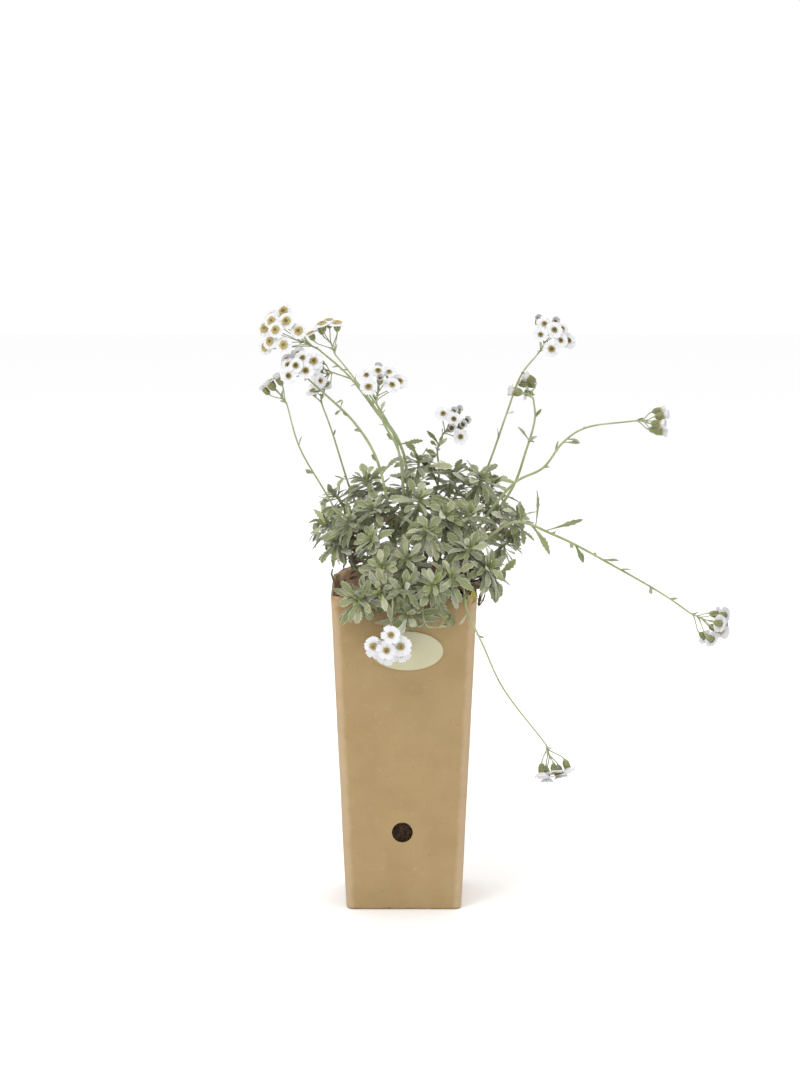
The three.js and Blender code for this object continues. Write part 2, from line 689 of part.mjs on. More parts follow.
// The stem goes on a little way between the pedicels, and the outer heads leave it first.
function corymbSolids(name, plant, stem) {
  const branch = vec(stem.route.at(-1));
  const rod = new THREE.LineCurve3(branch, branch.clone().lerp(vec(stem.middle), HUB_SHARE));
  register(name, tube(rod, HUB_RADII, [0, 1]));
  for (let i = 0; i < stem.heads; i++) {
    const foot = rod.getPoint(mix(...HUB_FEET, i / (stem.heads - 1)));
    const variant = (attempt) => headOf(plant, stem, i, attempt);
    const half = (head) => headSolid(head, foot.clone().lerp(head.centre, 0.5));
    const grow = (head) => half({ ...head, radius: head.radius + HEAD_GROWTH });
    const head = firstClear(HEAD_TRIES, name, variant, grow, { free: grow }) ?? variant(0);
    register(name, headSolid(head, foot));
  }
}

// Curves of the stems
function flowerStemCurve(plant, stem, attempt) {
  const route = stem.route.map(vec);
  const back = unit(add(route.at(-1), route.at(-2), -1));
  route.push(add(route.pop(), back, -2 * CLEARANCE));
  return new THREE.CatmullRomCurve3([...footOf(route[0], plant, attempt), ...route]);
}

// A shoot forks below its two rosettes. One that leaves the pot passes above the front rim.
function shootBranches(plant, tips, attempt) {
  const ends = tips.map((p) => {
    const tip = vec(p);
    const out = unit(add(tip, vec(MOUND_CENTRE), -1));
    const hangs = tip.z < OVER_RIM.z && tip.y < -POT_TOP_WIDTH / 2;
    const axis = hangs ? out : unit(add(out, vec(LIGHT_SIDE)));
    const shoulder = add(tip, axis, -ROSETTE_DEPTH);
    const knee = hangs ? [vec([shoulder.x, KNEE.y, KNEE.z])] : [];
    return { tip, axis, shoulder, knee };
  });
  const mean = ends[0].shoulder.clone().lerp(ends[1].shoulder, 0.5);
  const foot = footOf(mean, plant, attempt);
  const fork = foot[1].clone().lerp(mean, FORK_SHARE);
  if (mean.y < OVER_RIM.y) fork.set(fork.x, OVER_RIM.y, Math.max(fork.z, OVER_RIM.z));
  return ends.map(({ knee, shoulder, tip, axis }, rosette) => {
    const points = [...(rosette ? [] : foot), fork, ...knee, shoulder, tip];
    const radii = [mix(...SHOOT_STEM_RADII, rosette ? FORK_SHARE : 0), SHOOT_STEM_RADII[1]];
    return { points, radii, shoulder, tip, axis };
  });
}

// The stems of a shoot without its leaves, grown by a margin
function shootStems(branches, more = 0) {
  return branches.map(({ points, radii }) => {
    const stations = points.map((_, i) => i / (points.length - 1));
    const grown = radii.map((r) => r + more);
    return tube(new THREE.CatmullRomCurve3(points), grown, stations);
  });
}

// Keeping nodes clear of each other
const placed = [];
function register(name, made) {
  placed.push({ name, made, box: made.boundingBox() });
  return made;
}
const apart = (a, b) => [0, 1, 2].some((i) => a.max[i] < b.min[i] || b.max[i] < a.min[i]);

// Whether a piece, grown by its margin, meets nothing of the other nodes, and its free end
// nothing of its own node. What is named in `joined` may meet it.
function isClear(grown, own, joined, free) {
  const box = grown.boundingBox();
  return placed.every(({ name, made, box: other }) => {
    const probe = name === own ? free : grown;
    return !probe || joined === name || apart(box, other) || probe.intersect(made).isEmpty();
  });
}

// The first of its variants that is clear, or null.
function firstClear(tries, own, variant, grow, { joined, free } = {}) {
  for (let attempt = 0; attempt < tries; attempt++) {
    const made = variant(attempt);
    if (isClear(grow(made), own, joined, free?.(made))) return made;
  }
  return null;
}

// The first clear variant of a leaf, held as a solid of its own in `placed`.
function placeLeaf(name, variant) {
  const grow = (leaf) =>
    leafSolid({
      ...leaf,
      width: leaf.width + LEAF_GROWTH.width,
      length: leaf.length + LEAF_GROWTH.length,
      thickness: leaf.thickness + LEAF_GROWTH.thickness,
    });
  const free = (leaf) =>
    leafSolid({
      ...leaf,
      root: add(leaf.root, leaf.along, LEAF_FREE_FROM * leaf.length),
      length: (1 - LEAF_FREE_FROM) * leaf.length,
    });
  const leaf = firstClear(LEAF_TRIES, name, variant, grow, { free });
  if (leaf) register(name, leafSolid(leaf));
  return leaf;
}

// The leaves of all shoots are placed in turn, and each branch is then made whole with them.
function placeWhorls(shoots) {
  const whorls = shoots.flatMap(({ name, plant, branches }) =>
    branches.flatMap((branch, rosette) =>
      WHORLS.map((_, level) => {
        const root = whorlRoot(branch, WHORLS[level]);
        return { name, plant, branch, rosette, level, root, leaves: [] };
      }),
    ),
  );
  for (let j = 0; j < MOST_LEAVES; j++)
    for (const { name, plant, branch, rosette, level, leaves } of whorls) {
      if (j >= WHORLS[level].leaves) continue;
      const variant = (attempt) => whorlLeaf(plant, rosette, branch, level, j, attempt);
      const leaf = placeLeaf(name, variant);
      if (leaf) leaves.push(leaf);
    }
  const others = placed.filter(({ name }) => !name.startsWith("shoot"));
  placed.splice(0, placed.length, ...others);
  for (const { name, branches } of shoots)
    for (const branch of branches)
      register(name, branchSolid(branch, whorls.filter((whorl) => whorl.branch === branch)));
}

function build() {
  register("pot", potSolid());
  register("label", labelSolid());

  const corymbName = (i) => `corymb_${i + 1}`;
  FLOWER_STEMS.forEach((stem, i) => corymbSolids(corymbName(i), i, stem));
  const flowering = FLOWER_STEMS.map((stem, i) => {
    const name = `flower_stem_${i + 1}`;
    const curve = firstClear(
      STEM_TRIES, name,
      (attempt) => flowerStemCurve(i, stem, attempt),
      (made) => flowerStemTube(made, STEM_GROWTH),
      { joined: corymbName(i) },
    );
    if (!curve) throw new Error(`${name} crosses another piece`);
    register(name, flowerStemTube(curve));
    return { name, curve, stem };
  });
  const shoots = SHOOTS.map((tips, i) => {
    const plant = FLOWER_STEMS.length + i;
    const name = `shoot_${i + 1}`;
    const branches = firstClear(
      STEM_TRIES, name,
      (attempt) => shootBranches(plant, tips, attempt),
      (made) => wasm.Manifold.union(shootStems(made, STEM_GROWTH)),
    );
    if (!branches) throw new Error(`${name} crosses another piece`);
    shootStems(branches).forEach((made) => register(name, made));
    return { name, plant, branches };
  });
  const roots = [
    ...flowering.map(({ curve }) => ({ foot: curve.points[0], radius: FLOWER_STEM_RADII[0] })),
    ...shoots.map(({ branches }) => ({
      foot: branches[0].points[0], radius: SHOOT_STEM_RADII[0],
    })),
  ];
  register("soil", soilSolid(roots));

  flowering.forEach(({ name, curve, stem }, i) =>
    stem.leaves.forEach((_, j) =>
      placeLeaf(name, (attempt) => stemLeaf(i, stem, curve, j, attempt)),
    ),
  );
  placeWhorls(shoots);
}
build();

const holder = new THREE.Group();
const plants = new THREE.Group();
for (const name of new Set(placed.map((piece) => piece.name))) {
  const solids = placed.filter((piece) => piece.name === name).map((piece) => piece.made);
  const finish = FINISHES[name.replace(/_\d+$/, "")];
  const mesh = new THREE.Mesh(geometryOf(wasm.Manifold.union(solids)), finish);
  mesh.name = name;
  const group = ["pot", "label", "soil"].includes(name) ? holder : plants;
  group.add(mesh);
}
const yarrow = new THREE.Group().add(holder, plants);
export default yarrow;
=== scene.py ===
"""The looks of a potted Greek yarrow: its kraft-brown pot with a bare oval sticker, the soil,
the leafy shoots, the flowering stems and their clusters of white heads.

Lengths are in millimetres until a mesh is made. X runs to the right seen from the front, Y away
from the front and Z up, and the origin is the centre of the pot's underside.
"""
import logging
import math
from dataclasses import dataclass, field, replace
from enum import Enum
from typing import Callable, Iterator, Sequence

import bmesh
import bpy
import numpy as np
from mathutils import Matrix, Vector, kdtree, noise


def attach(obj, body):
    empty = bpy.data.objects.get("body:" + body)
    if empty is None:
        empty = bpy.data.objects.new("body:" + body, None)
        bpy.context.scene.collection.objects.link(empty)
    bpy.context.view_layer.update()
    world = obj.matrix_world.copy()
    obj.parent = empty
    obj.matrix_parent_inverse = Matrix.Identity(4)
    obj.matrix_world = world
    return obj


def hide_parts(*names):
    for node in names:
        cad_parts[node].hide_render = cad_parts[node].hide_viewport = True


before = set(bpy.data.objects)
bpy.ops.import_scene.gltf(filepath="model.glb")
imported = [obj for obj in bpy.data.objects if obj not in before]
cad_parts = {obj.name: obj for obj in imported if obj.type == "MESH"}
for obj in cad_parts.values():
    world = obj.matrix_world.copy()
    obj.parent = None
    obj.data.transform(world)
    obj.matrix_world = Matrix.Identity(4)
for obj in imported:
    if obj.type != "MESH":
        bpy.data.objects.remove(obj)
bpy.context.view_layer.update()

log = logging.getLogger("yarrow")

MM = 0.001
BODY = "root"
GOLDEN_ANGLE = math.pi * (3 - math.sqrt(5))
LEAN = np.array((0.58, 0.5, 0.64))

Point = Sequence[float]
Colour = tuple[float, float, float]
Array = np.ndarray
Object = bpy.types.Object
Material = bpy.types.Material
Socket = bpy.types.NodeSocket


# Small vector tools
def vec(point: Point) -> Array:
    """Returns a point as an array."""
    return np.array(point, float)


def unit(v: Array) -> Array:
    """Returns the direction of a vector."""
    return v / np.linalg.norm(v)


def mix(a: float, b: float, share: float) -> float:
    """Returns the value a share of the way from a to b."""
    return a + (b - a) * share


def square(axis: Array) -> tuple[Array, Array]:
    """Returns two directions that are square to an axis and to each other."""
    side = unit(np.cross(axis, LEAN))
    return side, np.cross(axis, side)


def draw(plant: int, leaf: int, attempt: int, use: int) -> float:
    """Draws a number that depends only on its four whole keys.

    Args:
        plant: The number of the stem that is grown.
        leaf: The number of the leaf or head on it.
        attempt: How often it was placed anew.
        use: What the number is for.

    Returns:
        A number from 0 to 1.
    """
    mask = 0xFFFFFFFF
    h = ((plant + 1) * 374761393 ^ (leaf + 1) * 668265263) & mask
    h ^= ((attempt + 1) * 1274126177 ^ (use + 1) * 1103515245) & mask
    h = (h ^ h >> 15) * 739982445 & mask
    h = (h ^ h >> 12) * 695872825 & mask
    return (h ^ h >> 15) / 2**32


class Use(Enum):
    """What a draw decides."""

    TURN = 0
    OPENING = 1
    LENGTH = 2
    WIDTH = 3
    CURL = 4
    ROOT_X = 7
    ROOT_Y = 8
    TONE = 9
    TWIST = 10
    SWAY = 11
    FORM = 12
    PLACE = 13
    SPIN = 14


class HeadUse(Enum):
    """What a draw decides on a flower head."""

    TURN = 0
    LIFT = 1
    FACING = 2
    RADIUS = 5


class SmoothRoute:
    """A smooth curve through points, the same one that the solids follow."""

    STEP = 1e-4

    def __init__(self, points: Sequence[Point]) -> None:
        """Keeps the points that the curve runs through."""
        self.points = [vec(p) for p in points]

    def at(self, share: float) -> Array:
        """Finds a point of the curve.

        Args:
            share: How far along the route, counted in stretches between its points.

        Returns:
            The point.
        """
        p, last = self.points, len(self.points) - 1
        place = share * last
        i = min(int(place), last - 1)
        t = place - i
        before = p[i - 1] if i else 2 * p[0] - p[1]
        after = p[i + 2] if i + 2 <= last else 2 * p[last] - p[last - 1]
        corners = (before, p[i], p[i + 1], after)
        d0, d1, d2 = (
            float(np.dot(b - a, b - a)) ** 0.25 for a, b in zip(corners, corners[1:])
        )
        a, b, c, d = corners
        first = ((b - a) / d0 - (c - a) / (d0 + d1) + (c - b) / d1) * d1
        second = ((c - b) / d1 - (d - b) / (d1 + d2) + (d - c) / d2) * d1
        square_term = -3 * b + 3 * c - 2 * first - second
        return b + first * t + square_term * t * t + (2 * b - 2 * c + first + second) * t**3

    def tangent(self, share: float) -> Array:
        """Returns the direction of the curve at a share of its route."""
        low, high = max(share - self.STEP, 0), min(share + self.STEP, 1)
        return unit(self.at(high) - self.at(low))

    def on_chords(self, share: float) -> Array:
        """Returns the point of the straight-sided stem that bends twice in each stretch.

        Args:
            share: How far along the route.

        Returns:
            The point.
        """
        bends = 2 * (len(self.points) - 1)
        before = math.floor(share * bends)
        a, b = self.at(before / bends), self.at((before + 1) / bends)
        return a + (b - a) * (share * bends - before)

    def sampled(self, count: int) -> list[Array]:
        """Returns evenly shared points of the curve."""
        return [self.at(i / (count - 1)) for i in range(count)]


class NodePoints:
    """The corners of a CAD node, which tell the variant of each leaf and head that it holds."""

    TOLERANCE = 0.02
    RING = 3

    def __init__(self, node: str) -> None:
        """Reads the corners of a node into a search tree.

        Args:
            node: The name of the node.
        """
        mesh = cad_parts[node].data
        flat = np.empty(len(mesh.vertices) * 3)
        mesh.vertices.foreach_get("co", flat)
        self.points = np.unique(np.round(flat.reshape(-1, 3) / MM, 4), axis=0)
        self.tree = kdtree.KDTree(len(self.points))
        for i, p in enumerate(self.points):
            self.tree.insert(p, i)
        self.tree.balance()

    def holds(self, point: Array) -> bool:
        """Returns whether the node has a corner at a point."""
        return self.tree.find(point)[2] < self.TOLERANCE

    def holds_ring(self, centre: Array, radius: float) -> bool:
        """Returns whether the node has a ring of corners round a point."""
        near = self.tree.find_range(centre, radius + self.TOLERANCE)
        return sum(found[2] > radius - self.TOLERANCE for found in near) >= self.RING


# Modelled forms and the meshes that hold their copies
@dataclass(frozen=True)
class Shape:
    """A form that is modelled once and copied.

    Attributes:
        points: Its corners, one row each.
        loops: The corner numbers of all faces, one after another.
        sizes: How many corners each face has.
        finish: The number of each face's finish.
        plan: For each corner, its place on the form across and along, for the finishes.
        under: For each corner, whether it is on the underside.
    """

    points: Array
    loops: Array
    sizes: Array
    finish: Array
    plan: Array
    under: Array

    @staticmethod
    def taken(finish: int, plan: Callable[[Array], Array]) -> "Shape":
        """Takes the active object as a shape and removes the object.

        Args:
            finish: The number of the finish of all its faces.
            plan: Gives each corner's place on the form from the corners.

        Returns:
            The shape.
        """
        obj = bpy.context.object
        mesh = obj.data
        points = np.empty(len(mesh.vertices) * 3)
        mesh.vertices.foreach_get("co", points)
        points = points.reshape(-1, 3)
        loops = np.empty(len(mesh.loops), int)
        mesh.loops.foreach_get("vertex_index", loops)
        sizes = np.empty(len(mesh.polygons), int)
        mesh.polygons.foreach_get("loop_total", sizes)
        bpy.data.objects.remove(obj)
        bpy.data.meshes.remove(mesh)
        under = (points[:, 2] < 0).astype(float)
        return Shape(points, loops, sizes, np.full(len(sizes), finish), plan(points), under)

    def moved(self, points: Array) -> "Shape":
        """Returns the same form with its corners elsewhere."""
        return replace(self, points=points)

    def dressed(self, finish: int) -> "Shape":
        """Returns the same form with another finish number."""
        return replace(self, finish=np.full_like(self.finish, finish))

    @staticmethod
    def joined(shapes: Sequence["Shape"]) -> "Shape":
        """Returns several shapes as one.

        Args:
            shapes: The shapes.

        Returns:
            One shape of all their corners and faces.
        """
        starts = np.cumsum([0] + [len(s.points) for s in shapes[:-1]])
        return Shape(
            np.concatenate([s.points for s in shapes]),
            np.concatenate([s.loops + start for s, start in zip(shapes, starts)]),
            *(
                np.concatenate([getattr(s, name) for s in shapes])
                for name in ("sizes", "finish", "plan", "under")
            ),
        )


class Pile:
    """Copies of shapes, gathered into the mesh of one piece."""

    def __init__(self) -> None:
        """Starts an empty pile."""
        self.shapes: list[Shape] = []
        self.growth: list[Array] = []

    def add(
        self, shape: Shape, points: Array, tone: float, youth: float = 0, warmth: float = 0.5
    ) -> None:
        """Adds one copy.

        Args:
            shape: The form.
            points: Where the copy's corners are, in millimetres.
            tone: The copy's own shade, from 0 to 1.
            youth: How young it is, from 0 to 1.
            warmth: How yellow its green is, from 0 to 1.
        """
        self.shapes.append(shape.moved(points))
        growth = np.empty((len(points), 4))
        growth[:] = (tone, youth, 0, warmth)
        growth[:, 2] = shape.under
        self.growth.append(growth)

    def build(self, name: str, finishes: Sequence[Material]) -> Object:
        """Makes the mesh of the piece.

        Args:
            name: The name of the object.
            finishes: The materials, in the order of the shapes' finish numbers.

        Returns:
            The object, at the origin.
        """
        whole = Shape.joined(self.shapes)
        mesh = bpy.data.meshes.new(name)
        mesh.vertices.add(len(whole.points))
        mesh.vertices.foreach_set("co", (whole.points * MM).ravel())
        mesh.loops.add(len(whole.loops))
        mesh.loops.foreach_set("vertex_index", whole.loops)
        mesh.polygons.add(len(whole.sizes))
        mesh.polygons.foreach_set("loop_start", np.cumsum(whole.sizes) - whole.sizes)
        mesh.polygons.foreach_set("material_index", whole.finish)
        mesh.update(calc_edges=True)
        mesh.uv_layers.new(name=PLAN).data.foreach_set("uv", whole.plan[whole.loops].ravel())
        growth = mesh.attributes.new(GROWTH, "FLOAT_COLOR", "POINT")
        growth.data.foreach_set("color", np.concatenate(self.growth).ravel())
        for finish in finishes:
            mesh.materials.append(finish)
        mesh.validate()
        obj = bpy.data.objects.new(name, mesh)
        bpy.context.scene.collection.objects.link(obj)
        return obj


PLAN = "plan"
GROWTH = "growth"


def select_only(*objects: Object) -> None:
    """Selects some objects, or none, and makes the first of them active.

    Args:
        objects: The objects, the active one first.
    """
    bpy.ops.object.select_all(action="DESELECT")
    for obj in objects:
        obj.select_set(True)
    if objects:
        bpy.context.view_layer.objects.active = objects[0]


def primitive(add: Callable[..., set[str]], **settings: object) -> Object:
    """Adds a primitive with nothing else selected and returns it.

    Args:
        add: The operator that adds it.
        settings: Its settings.

    Returns:
        The object.
    """
    select_only()
    add(**settings)
    return bpy.context.object


def apply_modifier(obj: Object, kind: str, **settings: object) -> None:
    """Adds a modifier to an object with its settings and applies it.

    Args:
        obj: The object.
        kind: The type of the modifier.
        settings: Its settings.
    """
    select_only(obj)
    modifier = obj.modifiers.new(kind.title(), kind)
    for key, value in settings.items():
        setattr(modifier, key, value)
    bpy.ops.object.modifier_apply(modifier=modifier.name)


def finish_piece(
    obj: Object, nodes: Sequence[str] = (), sharp: float = 50
) -> None:
    """Shades a piece, lets it ride on the pot and hides the CAD nodes that it replaces.

    Args:
        obj: The piece.
        nodes: The CAD nodes that it replaces.
        sharp: The angle in degrees from which an edge stays sharp.
    """
    select_only(obj)
    bpy.ops.object.shade_smooth_by_angle(angle=math.radians(sharp))
    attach(obj, BODY)
    if nodes:
        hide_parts(*nodes)
    log.info("%s: %d faces", obj.name, len(obj.data.polygons))


@dataclass
class Stalks:
    """Round stalks of one piece, drawn as curves with their own thickness at each point."""

    SIDES_LEVEL = 1

    runs: list[tuple[list[Array], list[float]]] = field(default_factory=list)

    def add(self, points: Sequence[Array], radii: Sequence[float]) -> None:
        """Adds a stalk through points, with a radius at each."""
        self.runs.append((list(points), list(radii)))

    def build(self, finish: Material) -> Object:
        """Draws the stalks and turns them into a mesh.

        Args:
            finish: Their material.

        Returns:
            The object.
        """
        curve = bpy.data.curves.new("stalks", "CURVE")
        curve.dimensions = "3D"
        curve.bevel_depth = MM
        curve.bevel_resolution = self.SIDES_LEVEL
        curve.use_fill_caps = True
        curve.materials.append(finish)
        for points, radii in self.runs:
            spline = curve.splines.new("POLY")
            spline.points.add(len(points) - 1)
            for corner, point, radius in zip(spline.points, points, radii):
                corner.co = (*(point * MM), 1)
                corner.radius = radius
        obj = bpy.data.objects.new("stalks", curve)
        bpy.context.scene.collection.objects.link(obj)
        select_only(obj)
        bpy.ops.object.convert(target="MESH")
        return bpy.context.object


def join(first: Object, second: Object) -> Object:
    """Joins the second object into the first and returns it.

    Args:
        first: The object that stays.
        second: The object that goes into it.

    Returns:
        The first object.
    """
    select_only(first, second)
    bpy.ops.object.join()
    return first


# Finishes
@dataclass(frozen=True)
class Graph:
    """A node tree with short ways to add and join its nodes."""

    tree: bpy.types.NodeTree

    def add(self, kind: str, settings: dict | None = None, **inputs: object) -> bpy.types.Node:
        """Adds a node.

        Args:
            kind: The node's type, without its leading ShaderNode.
            settings: Its own settings.
            inputs: Values or sockets for its inputs, by name with _ for a blank.

        Returns:
            The node.
        """
        node = self.tree.nodes.new("ShaderNode" + kind)
        for key, value in (settings or {}).items():
            setattr(node, key, value)
        for key, value in inputs.items():
            self.feed(node.inputs[key.replace("_", " ")], value)
        return node

    def feed(self, socket: Socket, value: object) -> None:
        """Sets an input to a value, or joins it to the socket that is given.

        Args:
            socket: The input.
            value: A number, a tuple or a socket.
        """
        if isinstance(value, Socket):
            self.tree.links.new(value, socket)
        elif isinstance(value, tuple) and len(value) == 3 and socket.type == "RGBA":
            socket.default_value = (*value, 1)
        else:
            socket.default_value = value

    def math(self, operation: str, *values: object) -> Socket:
        """Returns the result of a sum on numbers or sockets.

        Args:
            operation: The kind of sum.
            values: Its numbers or sockets.

        Returns:
            The result.
        """
        node = self.add("Math", {"operation": operation})
        for socket, value in zip(node.inputs, values):
            self.feed(socket, value)
        return node.outputs[0]

    def blend(self, share: object, a: object, b: object) -> Socket:
        """Returns a colour that is mixed from two.

        Args:
            share: The share of the second colour.
            a: The first colour.
            b: The second colour.

        Returns:
            The colour.
        """
        node = self.add("Mix", {"data_type": "RGBA"})
        for socket, value in zip((node.inputs[0], node.inputs[6], node.inputs[7]), (share, a, b)):
            self.feed(socket, value)
        return node.outputs[2]

    def ramp(self, value: object, low: float, high: float) -> Socket:
        """Returns a mask that climbs smoothly from 0 at low to 1 at high.

        Args:
            value: What is masked.
            low: Where the mask is 0.
            high: Where it is 1.

        Returns:
            The mask.
        """
        settings = {"interpolation_type": "SMOOTHSTEP"}
        node = self.add("MapRange", settings, Value=value, From_Min=low, From_Max=high)
        return node.outputs[0]

    def noise(
        self, vector: object, scale: float, detail: float = 3, roughness: float = 0.6
    ) -> Socket:
        """Returns soft noise of a scale."""
        inputs = {"Vector": vector, "Scale": scale, "Detail": detail, "Roughness": roughness}
        return self.add("TexNoise", None, **inputs).outputs[0]

    def parts(self, vector: object) -> tuple[Socket, ...]:
        """Returns the three numbers of a vector or colour."""
        return tuple(self.add("SeparateXYZ", None, Vector=vector).outputs)

    def times(self, a: object, b: object) -> Socket:
        """Returns the product of two numbers."""
        return self.math("MULTIPLY", a, b)

    def weighed(self, a: object, weight: object, b: object) -> Socket:
        """Returns a number times its weight, plus another number."""
        return self.math("MULTIPLY_ADD", a, weight, b)

    def tinted(self, colour: object, mask: object, share: object, tint: object) -> Socket:
        """Returns a colour with a share of a tint where a mask lies."""
        return self.blend(self.times(mask, share), colour, tint)

    def place(self) -> Socket:
        """Returns the place in the object's own coordinates."""
        return self.add("TexCoord").outputs["Object"]

    def plan(self) -> tuple[Socket, ...]:
        """Returns the place across and along the form."""
        return self.parts(self.add("UVMap", {"uv_map": PLAN}).outputs[0])[:2]

    def growth(self) -> tuple[Socket, ...]:
        """Returns the copy's tone, youth, underside and warmth."""
        node = self.add("Attribute", {"attribute_name": GROWTH})
        return (*self.parts(node.outputs["Vector"]), node.outputs["Alpha"])

    def placed(self, group: bpy.types.NodeTree, scale: float) -> tuple[Socket, ...]:
        """Places a shared group with its own scale and returns its outputs.

        Args:
            group: The group.
            scale: Its scale.

        Returns:
            Its outputs.
        """
        node = self.tree.nodes.new("ShaderNodeGroup")
        node.node_tree = group
        node.inputs["Scale"].default_value = scale
        return tuple(node.outputs)


@dataclass(frozen=True)
class Coat(Graph):
    """The node tree of one material."""

    material: Material

    @staticmethod
    def named(name: str) -> "Coat":
        """Starts a material.

        Args:
            name: The name of the material.

        Returns:
            Its node tree.
        """
        material = bpy.data.materials.new(name)
        material.use_nodes = True
        return Coat(material.node_tree, material)

    def finished(
        self, colour: Socket, height: Socket, relief: float, **inputs: object
    ) -> Material:
        """Joins the colour and the relief to the surface shader.

        Args:
            colour: The base colour.
            height: The height of the relief.
            relief: How deep the relief is at a height of 1, in metres.
            inputs: Further inputs of the shader, by name with _ for a blank.

        Returns:
            The material.
        """
        surface = self.tree.nodes["Principled BSDF"]
        bump = self.add("Bump", None, Height=height, Distance=relief, Strength=1.0)
        for key, value in {"Base_Color": colour, "Normal": bump.outputs[0], **inputs}.items():
            self.feed(surface.inputs[key.replace("_", " ")], value)
        return self.material


def shade_group(
    name: str, inside: Callable[[Graph, Socket], dict[str, Socket]]
) -> bpy.types.NodeTree:
    """Makes a node group that several finishes share, each at its own scale.

    Args:
        name: The name of the group.
        inside: Draws the inside from the scale and gives the sockets of the outputs by name.

    Returns:
        The group.
    """
    tree = bpy.data.node_groups.new(name, "ShaderNodeTree")
    tree.interface.new_socket("Scale", in_out="INPUT", socket_type="NodeSocketFloat")
    made = inside(Graph(tree), tree.nodes.new("NodeGroupInput").outputs["Scale"])
    out = tree.nodes.new("NodeGroupOutput")
    for key, socket in made.items():
        tree.interface.new_socket(key, in_out="OUTPUT", socket_type="NodeSocketFloat")
        tree.links.new(socket, out.inputs[key])
    return tree


def felt_inside(graph: Graph, scale: Socket) -> dict[str, Socket]:
    """Draws the fine down of leaves and stems, as its shade and its height.

    Args:
        graph: The group's tree.
        scale: The scale of the hairs.

    Returns:
        The outputs by name.
    """
    place = graph.place()
    hairs = graph.noise(place, scale, 4, 0.7)
    shade = graph.weighed(graph.noise(place, 160, 2), 0.45, graph.times(hairs, 0.55))
    return {"Shade": graph.ramp(shade, 0.36, 0.64), "Height": hairs}


def fibre_inside(graph: Graph, scale: Socket) -> dict[str, Socket]:
    """Draws the crossed fibres, dark specks and cloudy tone of pulp board and paper.

    Args:
        graph: The group's tree.
        scale: The scale of the fibres.

    Returns:
        The outputs by name.
    """
    place = graph.place()
    threads = []
    for turn, stretch in ((0.5, (1, 1, 0.16)), (2.1, (0.2, 1, 1)), (-0.9, (0.3, 1, 0.5))):
        node = graph.add("Mapping", None, Vector=place, Rotation=(0.0, turn, 0.0), Scale=stretch)
        threads.append(graph.noise(node.outputs[0], scale, 2, 0.5))
    most, least = (
        graph.math(kind, graph.math(kind, *threads[:2]), threads[2]) for kind in ("MAXIMUM", "MINIMUM")
    )
    return {
        "Fibres": graph.ramp(most, 0.66, 0.78),
        "Specks": graph.ramp(least, 0.27, 0.2),
        "Clouds": graph.ramp(graph.noise(place, 38, 4), 0.3, 0.7),
        "Height": most,
    }


class Kit:
    """The node groups that more than one finish uses, made once."""

    def __init__(self) -> None:
        """Makes the groups."""
        self.felt = shade_group("down", felt_inside)
        self.fibre = shade_group("pulp_fibre", fibre_inside)


@dataclass(frozen=True)
class Finish:
    """A finish that is drawn with the shared groups."""

    kit: Kit


@dataclass(frozen=True)
class LeafFinish(Finish):
    """Felted leaf: a grey-green blade with pale ribs and edges, and a fresh green base."""

    name: str
    dark: Colour
    cool: Colour
    warm: Colour
    panel: Colour
    rib: Colour
    fresh: Colour
    sheen: float = 0.35
    relief: float = 0.00018

    HAIR_SCALE = 1700
    RIB_WIDTH = 0.09
    VEINS = 7.0
    VEIN_SLANT = 0.42
    PALE_VEIN = 0.05
    PALE_EDGE = 0.45
    PALE_RIB = 0.18
    PALE_UNDERSIDE = 0.45

    def make(self) -> Material:
        """Makes the material.

        Returns:
            The material.
        """
        coat = Coat.named(self.name)
        across, along = coat.plan()
        tone, youth, under, warmth = coat.growth()
        down, hairs = coat.placed(self.kit.felt, self.HAIR_SCALE)
        away = coat.math("ABSOLUTE", across)
        edge = coat.ramp(away, 0.6, 1.0)
        rib = coat.ramp(away, self.RIB_WIDTH * 1.6, self.RIB_WIDTH * 0.4)
        slanted = coat.weighed(away, -self.VEIN_SLANT, along)
        vein = coat.ramp(coat.math("SINE", coat.times(slanted, self.VEINS * 2 * math.pi)), 0.3, 1.0)
        # The tone holds each leaf's own shade and, for leaves deep in the mound, painted shade; a low
        # tone leans to dark and to a stronger green panel.
        shade = coat.weighed(down, 0.3, coat.times(tone, 0.7))
        colour = coat.blend(shade, self.dark, coat.blend(warmth, self.cool, self.warm))
        deep = coat.times(coat.weighed(tone, -0.55, 0.8), coat.ramp(along, 0.2, 0.5))
        colour = coat.tinted(colour, coat.ramp(away, 0.95, 0.4), deep, self.panel)
        shares = (self.PALE_VEIN, self.PALE_EDGE, self.PALE_RIB, self.PALE_UNDERSIDE)
        for mask, share in zip((vein, edge, rib, under), shares):
            colour = coat.tinted(colour, mask, share, self.rib)
        base = coat.times(coat.ramp(along, 0.36, 0.0), 0.7)
        young = coat.times(youth, coat.ramp(along, 1.2, 0.35))
        colour = coat.blend(coat.math("MAXIMUM", base, young), colour, self.fresh)
        sunk = coat.math("MAXIMUM", coat.times(rib, 0.7), coat.times(vein, 0.12))
        return coat.finished(
            colour, coat.weighed(hairs, 0.9, sunk), self.relief, Roughness=0.62,
            Sheen_Weight=self.sheen, Sheen_Roughness=0.45, Specular_IOR_Level=0.25,
        )


